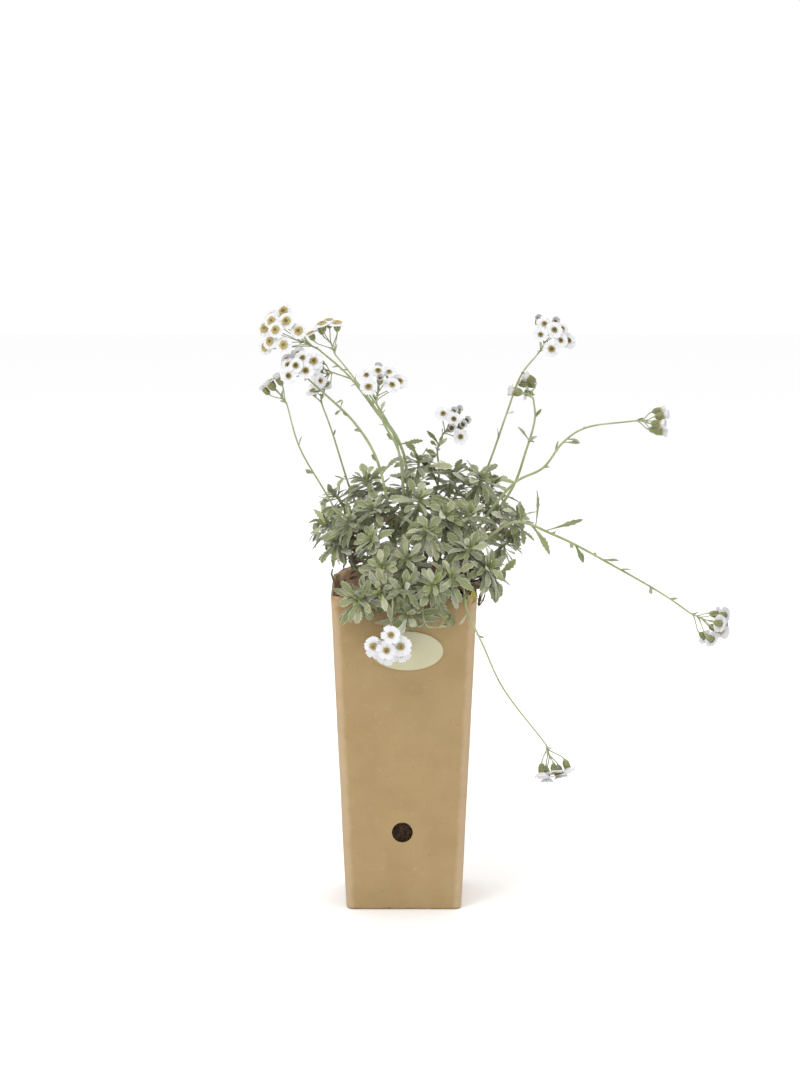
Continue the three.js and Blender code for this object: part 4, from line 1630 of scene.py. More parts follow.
@dataclass
class Soil:
    """The potting soil, crumbly on top and round the hole in the pot."""

    pot: Pot
    inset: float = 1.5
    floor: float = 1.5
    edge_z: float = 181
    crown_rise: float = 8
    crumbs: int = 520
    crumbs_at_hole: int = 70
    stem_hole_depth: float = 8
    free_start: float = 3
    root_share: float = 0.3
    root_jitter: float = 5
    root_stray: float = 0.35
    tries: int = 40

    SLICES = (20, 30, 36, 42, 46, 50, 54, 58, 64, 70, 100, 140)
    SQUARES = [-40 + 2.5 * i for i in range(33)]
    CRUMB_PLANT = 60
    SPREAD = 40

    def foot(
        self, corners: NodePoints, tip: Array, plant: int, radius: float
    ) -> list[Array]:
        """Finds where a stem stands in the soil.

        Args:
            corners: The corners of its CAD node.
            tip: What it grows towards.
            plant: Its number.
            radius: Its radius at the foot.

        Returns:
            The foot and the point where the stem leaves the soil.
        """
        for attempt in range(self.tries):
            stray = (1 + attempt * self.root_stray) * self.root_jitter
            x, y = (
                self.root_share * tip[i] + (draw(plant, 0, attempt, use.value) - 0.5) * stray
                for i, use in enumerate((Use.ROOT_X, Use.ROOT_Y))
            )
            foot = np.array((x, y, self.top(x, y) - self.stem_hole_depth))
            if corners.holds_ring(foot, radius):
                break
        return [foot, foot + vec((0, 0, self.stem_hole_depth + self.free_start))]

    def top(self, x: float, y: float) -> float:
        """Returns the height of the soil at a place."""
        away = max(abs(x), abs(y)) / (self.pot.half_width(self.edge_z) - self.inset)
        return self.edge_z + self.crown_rise * max(0, 1 - away * away)

    def bed(self) -> Object:
        """Models the block of soil with its rough crown.

        Returns:
            The block.
        """
        obj = self.pot.block(self.floor, self.edge_z, self.inset)
        self.pot.sliced(2, self.SLICES)
        self.pot.sliced(0, self.SQUARES)
        pick(obj, "FACE", looks_up)
        for place in self.SQUARES:
            bpy.ops.mesh.bisect(plane_co=(0, place * MM, 0), plane_no=(0, 1, 0))
            pick(obj, "FACE", looks_up)
        close_edit()

        def crumbled(place: Vector, normal: Vector) -> Vector:
            """Raises the crown and roughens the surface.

            Args:
                place: Where a corner is.
                normal: The way that the surface faces.

            Returns:
                Where it goes.
            """
            x, y, z = place / MM
            rough = noise.noise(Vector((x, y, z)) / 3.1) + 0.6 * noise.noise(Vector((x, y, z)) / 1.3)
            if z > self.edge_z - 0.01:
                edge = self.pot.half_width(self.edge_z) - self.inset - max(abs(x), abs(y))
                return Vector((x, y, self.top(x, y) + 0.9 * rough * min(1, edge / 3))) * MM
            inward = Vector((normal.x, normal.y, 0)) * min(0, 0.8 * rough - 0.3) * MM
            return place + inward

        reshape(obj, crumbled)
        return obj

    def crumb_at(self, i: int, a: float, b: float, radius: float) -> Array:
        """Places a crumb on the soil, or behind the hole in the pot.

        Args:
            i: Its number.
            a: Its first draw.
            b: Its second draw.
            radius: Its radius.

        Returns:
            Its middle.
        """
        if i < self.crumbs:
            x, y = ((2 * share - 1) * self.SPREAD for share in (a, b))
            return np.array((x, y, self.top(x, y) + 0.3 * radius))
        hole_x, hole_z, hole_radius = self.pot.hole
        away, angle = hole_radius * 1.1 * math.sqrt(a), 2 * math.pi * b
        z = hole_z + away * math.sin(angle)
        wall = self.pot.half_width(z) - self.inset
        return np.array((hole_x + away * math.cos(angle), 0.55 + radius * 0.7 - wall, z))

    def build(self, finishes: Finishes) -> None:
        """Models the soil with its crumbs and dresses it.

        Args:
            finishes: The finishes.
        """
        obj = self.bed()
        obj.name = "potting_soil"
        obj.data.materials.append(finishes.peat)
        ball = primitive(bpy.ops.mesh.primitive_ico_sphere_add, subdivisions=2, radius=1)
        reshape(ball, lambda p, n: p * (1 + 0.35 * noise.noise(p * 1.7)))
        crumb = Shape.taken(0, lambda p: p[:, :2])
        pile = Pile()
        for i in range(self.crumbs + self.crumbs_at_hole):
            a, b, c, size, turn = (draw(self.CRUMB_PLANT, i, 0, use) for use in range(5))
            radius = 0.45 + 1.3 * size**3
            squash = np.array((1, mix(0.6, 1, c), mix(0.5, 0.9, a)))
            cos, sin = (way(2 * math.pi * turn) for way in (math.cos, math.sin))
            turned = (crumb.points * squash * radius) @ ((cos, sin, 0), (-sin, cos, 0), (0, 0, 1))
            pile.add(crumb, turned + self.crumb_at(i, a, b, radius), c)
        obj = join(obj, pile.build("crumbs", [finishes.peat]))
        finish_piece(obj, ["soil"], sharp=60)


# Leafy shoots
@dataclass
class Branch:
    """One branch of a shoot, up to the tip of its rosette."""

    points: list[Array]
    radii: tuple[float, float]
    shoulder: Array
    tip: Array
    axis: Array


@dataclass(frozen=True)
class Whorl:
    """A ring of leaves on a rosette."""

    at: float
    leaves: int
    opening: float
    length: float
    width: float


@dataclass
class LeafyShoot:
    """A shoot that forks to two rosettes of toothed grey-green leaves."""

    foliage: Foliage
    number: int
    tips: tuple[Point, Point]

    STEM_RADII = (1.6, 0.9)
    FORK_SHARE = 0.55
    OVER_RIM_Y = -38
    OVER_RIM_Z = 208
    KNEE_Y = -50
    KNEE_Z = 205
    HANGS_FROM_Y = -45
    MOUND_CENTRE = (8, 0, 205)
    LIGHT_SIDE = (0, -0.15, 0.35)
    ROSETTE_DEPTH = 8
    FIRST_PLANT = 15
    MOST_LEAVES = 5
    LEAF_TRIES = 24
    WHORLS = (Whorl(0.3, 5, 94, 20, 5.8), Whorl(0.95, 4, 50, 14.5, 5))
    VARIETY = Variety(6, 2, 0.4, 16, 0.25, 1 / 60, 0.2, (0.16, 0.24))
    BETWEEN = (
        Whorl(0.05, 4, 112, 17, 4.9), Whorl(0.62, 5, 72, 17.5, 4.9), Whorl(0.8, 4, 60, 12.5, 4.1)
    )
    BETWEEN_KEY = 40
    CROSSING = ((20, 62),)
    HEART = 8
    HEART_KEY = 80
    LOW_LEAVES = 22
    LOW_KEY = 120
    LOWEST = 0.34
    DRY_BELOW = 0.56
    DRY_WIDTH = 0.6
    BETWEEN_SHIFTS = (0.25, 0.75, 0.5)
    # Painted shade: tone factors that darken the lower whorls between the rosettes, as shade inside the
    # mound.
    BETWEEN_PAINTED_LIGHT = (0.45, 0.8, 1)
    BETWEEN_YOUTH = (0, 0.05, 0.25)
    WHORL_YOUTH = 0.12
    HEART_DEPTHS = (0.4, 1.6)
    HEART_SIZES = ((8, 44), (3.8, 9.5), (1.4, 3.0))
    HEART_YOUTH = (1, 0.75)
    HIGHEST = 0.93
    LOW_SIZES = ((84, 84), (14, 17), (4, 5))
    # Painted shade: tone factors that darken the low leaves on the stem, most of all the lowest.
    LOW_PAINTED_LIGHT = (0, 0.6)
    LOW_YOUTH = 0.1
    STEPS = 8
    SLIMMED = 0.92

    @property
    def plant(self) -> int:
        """The number that its draws are made with."""
        return self.FIRST_PLANT + self.number - 1

    def branches(self, corners: NodePoints) -> list[Branch]:
        """Lays out the two branches.

        Args:
            corners: The corners of the CAD node.

        Returns:
            The branches, the one from the foot first.
        """
        ends = []
        for point in self.tips:
            tip = vec(point)
            out = unit(tip - vec(self.MOUND_CENTRE))
            hangs = tip[2] < self.OVER_RIM_Z and tip[1] < self.HANGS_FROM_Y
            axis = out if hangs else unit(out + vec(self.LIGHT_SIDE))
            shoulder = tip - axis * self.ROSETTE_DEPTH
            knee = [np.array((shoulder[0], self.KNEE_Y, self.KNEE_Z))] if hangs else []
            ends.append((tip, axis, shoulder, knee))
        mean = (ends[0][2] + ends[1][2]) / 2
        foot, start = self.foliage.soil.foot(corners, mean, self.plant, self.STEM_RADII[0])
        fork = start + (mean - start) * self.FORK_SHARE
        if mean[1] < self.OVER_RIM_Y:
            fork = np.array((fork[0], self.OVER_RIM_Y, max(fork[2], self.OVER_RIM_Z)))
        made = []
        for rosette, (tip, axis, shoulder, knee) in enumerate(ends):
            points = [*([] if rosette else [foot, start]), fork, *knee, shoulder, tip]
            low = mix(*self.STEM_RADII, self.FORK_SHARE if rosette else 0)
            made.append(Branch(points, (low, self.STEM_RADII[1]), shoulder, tip, axis))
        return made

    def seat(self, branch: Branch, rosette: int, whorl: Whorl, j: int, shift: float) -> LeafSeat:
        """Returns the mean place of a leaf of a whorl, shifted round by a share of a step.

        Args:
            branch: The branch.
            rosette: The number of its rosette.
            whorl: The whorl.
            j: The number of the leaf in it.
            shift: The share of a step.

        Returns:
            The leaf's seat.
        """
        root = branch.shoulder + (branch.tip - branch.shoulder) * whorl.at
        angle = 2 * math.pi * (j + shift) / whorl.leaves + self.plant + rosette
        sizes = (whorl.opening, whorl.length, whorl.width)
        return LeafSeat(root, branch.axis, angle, *sizes, self.VARIETY)

    def dress_rosette(
        self, pile: Pile, corners: NodePoints, branch: Branch, rosette: int
    ) -> None:
        """Adds the leaves of one rosette and of the stem just under it.

        Args:
            pile: What they are added to.
            corners: The corners of the CAD node.
            branch: The rosette's branch.
            rosette: Its number on the shoot.
        """
        foliage, forms = self.foliage, self.foliage.forms
        for level, whorl in enumerate(self.WHORLS):
            for j in range(whorl.leaves):
                key = (rosette * len(self.WHORLS) + level) * self.MOST_LEAVES + j
                seat = self.seat(branch, rosette, whorl, j, 0.5 * level)
                blade = seat.found(corners, self.plant, key, self.LEAF_TRIES)
                if blade:
                    foliage.add(pile, blade, forms.broad, self.plant, key, self.WHORL_YOUTH * level)
        for level, whorl in enumerate(self.BETWEEN):
            for j in range(whorl.leaves):
                key = self.BETWEEN_KEY + (rosette * len(self.BETWEEN) + level) * self.MOST_LEAVES + j
                seat = self.seat(branch, rosette, whorl, j, self.BETWEEN_SHIFTS[level])
                blade = seat.grown(self.plant, key, 0)
                if foliage.is_clear(blade) and (self.plant, key) not in self.CROSSING:
                    # light is painted shade for the lower whorls.
                    light, youth = self.BETWEEN_PAINTED_LIGHT[level], self.BETWEEN_YOUTH[level]
                    foliage.add(pile, blade, forms.broad, self.plant, key, youth, 0, light)
        for j in range(self.HEART):
            key = self.HEART_KEY + rosette * self.HEART + j
            grown = j / (self.HEART - 1)
            root = branch.tip - branch.axis * mix(*self.HEART_DEPTHS, grown)
            sizes = (mix(*ends, grown) for ends in self.HEART_SIZES)
            seat = LeafSeat(root, branch.axis, j * GOLDEN_ANGLE, *sizes, self.VARIETY)
            blade = seat.grown(self.plant, key, 0)
            foliage.add(pile, blade, forms.young, self.plant, key, mix(*self.HEART_YOUTH, grown))
        curve = SmoothRoute(branch.points)
        for j in range(self.LOW_LEAVES):
            key = self.LOW_KEY + rosette * self.LOW_LEAVES + j
            climb = (j + 0.5) / self.LOW_LEAVES
            share = mix(self.LOWEST, self.HIGHEST, climb)
            root, axis = curve.at(share), curve.tangent(share)
            sizes = (mix(*ends, climb) for ends in self.LOW_SIZES)
            seat = LeafSeat(root, axis, j * GOLDEN_ANGLE + rosette, *sizes, self.VARIETY)
            blade = seat.grown(self.plant, key, 0)
            if foliage.is_clear(blade):
                dry = share < self.DRY_BELOW
                blade = replace(blade, width=blade.width * (self.DRY_WIDTH if dry else 1))
                # The last number darkens the lower leaves as painted shade.
                look = (self.LOW_YOUTH, int(dry), mix(*self.LOW_PAINTED_LIGHT, climb))
                foliage.add(pile, blade, forms.broad, self.plant, key, *look)

    def build(self) -> None:
        """Models the shoot and dresses it."""
        finishes = self.foliage.finishes
        node = f"shoot_{self.number}"
        corners = NodePoints(node)
        stalks, pile = Stalks(), Pile()
        for rosette, branch in enumerate(self.branches(corners)):
            steps = self.STEPS * (len(branch.points) - 1) + 1
            points = SmoothRoute(branch.points).sampled(steps)
            radii = [mix(*branch.radii, i / (steps - 1)) * self.SLIMMED for i in range(steps)]
            stalks.add(points, radii)
            self.dress_rosette(pile, corners, branch, rosette)
        leaves = pile.build(f"leafy_{node}", [finishes.leaf, finishes.dry_leaf])
        finish_piece(join(leaves, stalks.build(finishes.stalk)), [node])


# Flowering stems and their clusters
@dataclass(frozen=True)
class StemPlan:
    """The course of a flowering stem and what it carries.

    Attributes:
        route: The points that it passes after its foot.
        middle: The middle of its heads.
        look: The way that they look.
        spread: Half the width of the cluster.
        heads: How many heads it has.
        leaves: The place and length of each leaf.
        sprigs: The foot, tip and width of each further small leaf.
        ripeness: How ripe its open heads are, from 0 to 1.
        half_open: The share of its heads that are half open.
        pale: How much paler its discs are than usual.
        size: The size of its heads against the usual.
        spreading: Whether its half-open heads spread their rays.
        turned: Whether its heads look away from the front.
        buds: Whether the heads are still in bud.
    """

    route: tuple[Point, ...]
    middle: Point
    look: Point
    spread: float
    heads: int
    leaves: tuple[tuple[float, float], ...]
    sprigs: tuple[tuple[Point, Point, float], ...] = ()
    ripeness: float = 0.5
    half_open: float = 0
    pale: float = 0
    size: float = 1
    spreading: bool = False
    turned: bool = False
    buds: bool = False


@dataclass
class StemPart:
    """A part of a flowering stem: the stem itself or its cluster."""

    foliage: Foliage
    number: int
    plan: StemPlan

    @property
    def plant(self) -> int:
        """The number that its draws are made with."""
        return self.number - 1


@dataclass
class FloweringStem(StemPart):
    """A slender stem with narrow leaves."""

    RADII = (1.35, 0.8)
    STOUT = (1.15, 0.54)
    SLIM = (0.85, 0.46)
    STOUT_STEMS = (3, 4, 7, 10, 11, 12)
    GROWN = 0.75
    DRAWN_BACK = 0.6
    OPENING = 52
    WIDTH_SHARE = 0.27
    LEAF_TRIES = 24
    VARIETY = Variety(3, math.inf, 0.8, 20, 0.15, 1 / 40, 0, (0.1, 0.3))
    EXTRA_KEY = 40
    SPRIG_KEY = 80
    SPRIG_UP = (0.15, -1, 0.35)
    # The sprigs' youth, finish and painted shade, which halves their tone.
    SPRIG_LOOK = (0.1, 0, 0.5)
    STEPS = 9
    YOUTH = 0.15
    AXIL_TURN = 0.3
    AXIL_OPENING = 30
    AXIL_LENGTH = 0.35
    AXIL_WIDTH = 0.13
    AXIL_YOUTH = 0.4

    def curve(self, corners: NodePoints) -> SmoothRoute:
        """Returns the stem's course from its foot.

        Args:
            corners: The corners of its CAD node.

        Returns:
            The curve.
        """
        route = [vec(p) for p in self.plan.route]
        route[-1] = route[-1] - unit(route[-1] - route[-2]) * self.DRAWN_BACK
        foot = self.foliage.soil.foot(corners, route[0], self.plant, self.RADII[0])
        return SmoothRoute([*foot, *route])

    def seat(self, curve: SmoothRoute, place: float, length: float, angle: float) -> LeafSeat:
        """Returns the mean place of a leaf.

        Args:
            curve: The stem's course.
            place: How far along it.
            length: The leaf's length.
            angle: The way round the stem.

        Returns:
            The leaf's seat.
        """
        root, axis = curve.on_chords(place), curve.tangent(place)
        width = length * self.WIDTH_SHARE
        return LeafSeat(root, axis, angle, self.OPENING, length, width, self.VARIETY)

    def add_sprigs(self, pile: Pile, course: Sequence[Array]) -> None:
        """Adds the further small leaves, each from the nearest point of the stem's course.

        Args:
            pile: What they are added to.
            course: The points of the stem's course.
        """
        foliage = self.foliage
        for j, (foot, tip, width) in enumerate(self.plan.sprigs):
            away = [np.linalg.norm(point - vec(foot)) for point in course]
            root = course[int(np.argmin(away))]
            along = vec(tip) - root
            length = float(np.linalg.norm(along))
            up = vec(self.SPRIG_UP)
            up = unit(up - along * along.dot(up) / length**2)
            blade = Blade(root, along / length, up, length / foliage.MEAN_GROWTH, width, 0.1)
            key = self.SPRIG_KEY + j
            foliage.add(pile, blade, foliage.forms.broad, self.plant, key, *self.SPRIG_LOOK)

    def build(self) -> None:
        """Models the stem with its leaves and dresses it."""
        foliage, finishes = self.foliage, self.foliage.finishes
        node = f"flower_stem_{self.number}"
        corners = NodePoints(node)
        curve = self.curve(corners)
        steps = self.STEPS * (len(curve.points) - 1) + 1
        stalks, pile = Stalks(), Pile()
        ends = self.STOUT if self.number in self.STOUT_STEMS else self.SLIM
        course = curve.sampled(steps)
        stalks.add(course, [mix(*ends, i / (steps - 1)) for i in range(steps)])
        for j, (place, length) in enumerate(self.plan.leaves):
            seat = self.seat(curve, place, length, j * GOLDEN_ANGLE + self.plant)
            blade = seat.found(corners, self.plant, j, self.LEAF_TRIES)
            if blade:
                blade = replace(blade, length=blade.length * self.GROWN)
                foliage.add(pile, blade, foliage.forms.narrow, self.plant, j, self.YOUTH)
            if j % 2 == 0:
                key = self.EXTRA_KEY + j
                axil = replace(
                    seat, angle=seat.angle + self.AXIL_TURN, opening=self.AXIL_OPENING,
                    length=length * self.AXIL_LENGTH, width=length * self.AXIL_WIDTH,
                )
                small = axil.grown(self.plant, key, 0)
                foliage.add(pile, small, foliage.forms.young, self.plant, key, self.AXIL_YOUTH)
        self.add_sprigs(pile, course)
        leaves = pile.build(f"flowering_stem_{self.number}", [finishes.leaf])
        finish_piece(join(leaves, stalks.build(finishes.stalk)), [node])


@dataclass(frozen=True)
class Head:
    """Where one flower head stands."""

    centre: Array
    facing: Array
    radius: float


@dataclass(frozen=True)
class HeadSizes:
    """The sizes of a flower head, with the middle of its rays at the origin, looking up."""

    radius: float = 5
    disc_radius: float = 2.35
    disc_dome: float = 0.7
    cup_depth: float = 5.2
    cup_radius: float = 2.05
    cup_foot: float = 0.67
    ray_width: float = 4.5
    ray_root: float = 1.35
    bud_radius: float = 1.85
    bud_above: float = 1.68
    bud_below: float = 2.52


class HeadFinish(Enum):
    """The order of the finishes on a cluster."""

    RAY = 0
    DISC = 1
    BRACT = 2
    LEAF = 3


class HeadParts:
    """The parts of a flower head, each modelled once."""

    RAY_TIP = (0.76, 0.97, 0.86, 1.0, 0.87, 0.98, 0.78)
    RAY_WIDTHS = (0.32, 0.8, 1.02, 0.9)
    OPEN_MOUTH = (1.45, 0.3, -0.45)
    SHUT_MOUTH = (0.95, 0.22, 0.3)

    def __init__(self, sizes: HeadSizes) -> None:
        """Models the ray, floret and scale.

        Args:
            sizes: The sizes of the head.
        """
        self.sizes = sizes
        self.ray = self.modelled_ray()
        self.open_floret = self.modelled_floret(*self.OPEN_MOUTH)
        self.shut_floret = self.modelled_floret(*self.SHUT_MOUTH)
        scale = LeafForm(teeth=1, depth=0, stalk=0.7, widest=0.4, blunt=0.25, plain=2)
        self.scale = scale.modelled(HeadFinish.BRACT.value)

    def modelled_ray(self) -> Shape:
        """Models a ray as a sheet that is one long and one wide, with a notched tip.

        Returns:
            The ray.
        """
        columns, rows = len(self.RAY_TIP) - 1, len(self.RAY_WIDTHS) - 1
        obj = primitive(
            bpy.ops.mesh.primitive_grid_add, x_subdivisions=columns, y_subdivisions=rows, size=1
        )

        def cut(place: Vector, normal: Vector) -> Vector:
            """Narrows the ray to its foot, notches its tip and cups it.

            Args:
                place: Where a corner of the grid is.
                normal: Its normal, which is not used.

            Returns:
                Where it goes.
            """
            column, row = round((place.x + 0.5) * columns), round((place.y + 0.5) * rows)
            along = row / rows
            reach = mix(1, self.RAY_TIP[column], along**3)
            across = place.x * self.RAY_WIDTHS[row]
            cup = 0.16 * across * across - 0.012 * math.cos(column * math.pi) * along
            return Vector((across, along * reach, cup))

        reshape(obj, cut)
        apply_modifier(obj, "SOLIDIFY", thickness=0.025, offset=0)
        return Shape.taken(HeadFinish.RAY.value, lambda p: p[:, :2] * (2, 1))

    def modelled_floret(self, mouth: float, lip: float, middle: float) -> Shape:
        """Models a floret, one high.

        Args:
            mouth: The width of its mouth against its foot.
            lip: The width of its lip.
            middle: How far the middle of the mouth stands up.

        Returns:
            The floret.
        """
        obj = primitive(
            bpy.ops.mesh.primitive_cylinder_add, vertices=5, radius=0.5, depth=1, location=(0, 0, 0.5)
        )
        settle_place()
        edit(obj)
        pick(obj, "FACE", looks_up)
        bpy.ops.transform.resize(value=(mouth, mouth, 1), center_override=(0, 0, 1))
        bpy.ops.mesh.inset(thickness=lip)
        bpy.ops.transform.translate(value=(0, 0, middle))
        close_edit()
        return Shape.taken(HeadFinish.DISC.value, lambda p: p[:, (2, 0)] * (1, 0))

    def cup(self, outline: Sequence[tuple[float, float]]) -> Shape:
        """Models the body of a cup or bud.

        Args:
            outline: The radius and height of each ring, from the foot up.

        Returns:
            The closed body.
        """
        radius, low = outline[0]
        obj = primitive(
            bpy.ops.mesh.primitive_circle_add, vertices=10, radius=radius, fill_type="NGON",
            location=(0, 0, low),
        )
        settle_place()
        edit(obj)
        for (before, low), (radius, high) in zip(outline, outline[1:]):
            bpy.ops.mesh.extrude_region_move(TRANSFORM_OT_translate={"value": (0, 0, high - low)})
            grow = radius / before
            bpy.ops.transform.resize(value=(grow, grow, 1), center_override=(0, 0, high))
        close_edit()
        recalculate_outside(obj)
        return Shape.taken(HeadFinish.BRACT.value, lambda p: p[:, :2] * 0 + (0, 0.3))

    def scales_on(
        self, outline: Sequence[tuple[float, float]], rows: Sequence[tuple[float, float, int]]
    ) -> list[Shape]:
        """Lays rows of overlapping scales on a body.

        Args:
            outline: The body's rings.
            rows: For each row the height of its foot and tip, and its number of scales.

        Returns:
            The scales.
        """
        radii, heights = zip(*outline)
        made = []
        for row, (low, high, count) in enumerate(rows):
            foot, tip = (np.interp(z, heights, radii) for z in (low, high))
            for k in range(count):
                angle = 2 * math.pi * (k + 0.5 * (row % 2)) / count
                out = np.array((math.cos(angle), math.sin(angle), 0))
                root = out * foot * 0.96 + vec((0, 0, low))
                end = out * (tip + 0.16) + vec((0, 0, high))
                along = unit(end - root)
                up = unit(out - along * along.dot(out))
                width = 2 * math.pi * max(foot, tip) / count * 1.35
                length = float(np.linalg.norm(end - root))
                blade = Blade(root, along, up, length, width, -0.02, -0.22, thickness=0.22)
                made.append(self.scale.moved(blade.laid(self.scale)))
        return made


@dataclass(frozen=True)
class HeadForm:
    """One form of the open head, put together from its parts.

    Attributes:
        parts: Its parts.
        seed: The number of its draws.
        rays: How many rays it has.
        droop: How far they droop.
        disc: The size of its disc.
        reach: How far its rays reach.
        rise: How far they still stand up.
    """

    parts: HeadParts
    seed: int
    rays: int
    droop: float
    disc: float
    reach: float
    rise: float = 0

    FLORETS = 34
    SHUT_SHARE = 0.42
    FIRST_PLANT = 90

    def chance(self, key: int, use: int) -> float:
        """Returns a draw from -0.5 to 0.5."""
        return draw(self.FIRST_PLANT + self.seed, key, 0, use) - 0.5

    def ray_shapes(self) -> Iterator[Shape]:
        """Gives the rays, which overlap like tiles.

        Returns:
            The rays one by one.
        """
        sizes, ray = self.parts.sizes, self.parts.ray
        for k in range(self.rays):
            angle = 2 * math.pi * (k + 0.3 * self.chance(k, 0)) / self.rays
            out = np.array((math.cos(angle), math.sin(angle), 0))
            foot = sizes.ray_root * self.disc
            length = (sizes.radius * self.reach - foot) * (1 + 0.14 * self.chance(k, 1))
            slope = self.rise - self.droop * (1 + self.chance(k, 2)) + 0.06 * (-1) ** k
            along = unit(out + vec((0, 0, slope)))
            side = np.cross(vec((0, 0, 1)), out)
            up = np.cross(along, side)
            root = out * foot + vec((0, 0, 0.1 + 0.12 * (k % 2)))
            width = sizes.ray_width * (1 + 0.12 * self.chance(k, 3)) * (1 - 0.2 * self.rise)
            across, share, lift = ray.points.T
            bend = (self.droop - self.rise * 0.5) * 0.8 * share**2 + 0.06 * self.chance(k, 4) * share
            points = root + np.outer(share * length, along) + np.outer(across * width, side)
            yield ray.moved(points + np.outer(lift * width - bend * length * 0.5, up))

    def floret_shapes(self) -> Iterator[Shape]:
        """Gives the florets of the disc, open at its edge and shut in its middle.

        Returns:
            The florets one by one.
        """
        sizes = self.parts.sizes
        wide = 0.58 * self.disc
        for k in range(self.FLORETS):
            share = math.sqrt((k + 0.5) / self.FLORETS)
            shape = self.parts.shut_floret if share < self.SHUT_SHARE else self.parts.open_floret
            angle = k * GOLDEN_ANGLE
            away = share * sizes.disc_radius * self.disc * 0.88
            rise = sizes.disc_dome * (1 - share**2) * 0.55
            out = np.array((math.cos(angle), math.sin(angle), 0))
            up = unit(vec((0, 0, 1)) + out * (0.35 * share))
            side = np.cross(up, out)
            height = 0.62 + 0.16 * self.chance(k, 5) + 0.22 * share
            root = out * away + vec((0, 0, rise + 0.05))
            x, y, z = shape.points.T
            points = root + np.outer(x * wide, np.cross(side, up)) + np.outer(y * wide, side)
            plan = np.column_stack((shape.plan[:, 0], np.full(len(x), share)))
            yield replace(shape, points=points + np.outer(z * height, up), plan=plan)

    def whole(self) -> Shape:
        """Puts the head together: cup, scales, rays and florets.

        Returns:
            The head.
        """
        sizes = self.parts.sizes
        depth, radius = sizes.cup_depth, sizes.cup_radius
        outline = (
            (sizes.cup_foot, -depth), (radius * 0.71, -depth * 0.89), (radius * 0.95, -depth * 0.6),
            (radius, -depth * 0.3), (radius * 0.93, 0.1), (radius * 0.55, 0.42),
        )
        rows = (
            (-depth * 0.97, -depth * 0.6, 7), (-depth * 0.84, -depth * 0.4, 8),
            (-depth * 0.64, -depth * 0.18, 8), (-depth * 0.44, 0.1, 8),
        )
        return Shape.joined([
            self.parts.cup(outline), *self.parts.scales_on(outline, rows),
            *self.ray_shapes(), *self.floret_shapes(),
        ])


def bud_shape(parts: HeadParts) -> Shape:
    """Puts a closed bud together from its body and rows of scales.

    Args:
        parts: The parts of the head.

    Returns:
        The bud.
    """
    sizes = parts.sizes
    radius, low, high = sizes.bud_radius * 0.9, -sizes.bud_below, sizes.bud_above
    outline = (
        (0.5, low), (radius * 0.72, low * 0.75), (radius, low * 0.25), (radius * 0.93, high * 0.3),
        (radius * 0.6, high * 0.75), (0.25, high * 0.95),
    )
    rows = ((low * 0.95, low * 0.1, 7), (low * 0.7, high * 0.3, 8), (low * 0.2, high * 0.75, 8),
            (high * 0.1, high * 0.98, 6))
    return Shape.joined([parts.cup(outline), *parts.scales_on(outline, rows)])


class HeadForms:
    """All forms of flower head, each put together once."""

    def __init__(self) -> None:
        """Puts the open heads and the bud together."""
        parts = HeadParts(HeadSizes())
        recipes = (
            (6, 0.05, 0.7, 1.08, 0.12), (7, 0.04, 0.76, 1.12), (7, 0.1, 0.88, 1.06),
            (8, 0.14, 0.98, 1.12), (7, 0.2, 1.08, 1.14), (8, 0.1, 1.2, 1.06),
        )
        self.open = [HeadForm(parts, i, *recipe).whole() for i, recipe in enumerate(recipes)]
        self.half_open = HeadForm(parts, 9, 6, 0, 0.8, 0.92, 1.4).whole()
        self.spreading = HeadForm(parts, 11, 7, 0, 0.9, 1.15, 0.7).whole()
        self.bud = bud_shape(parts)


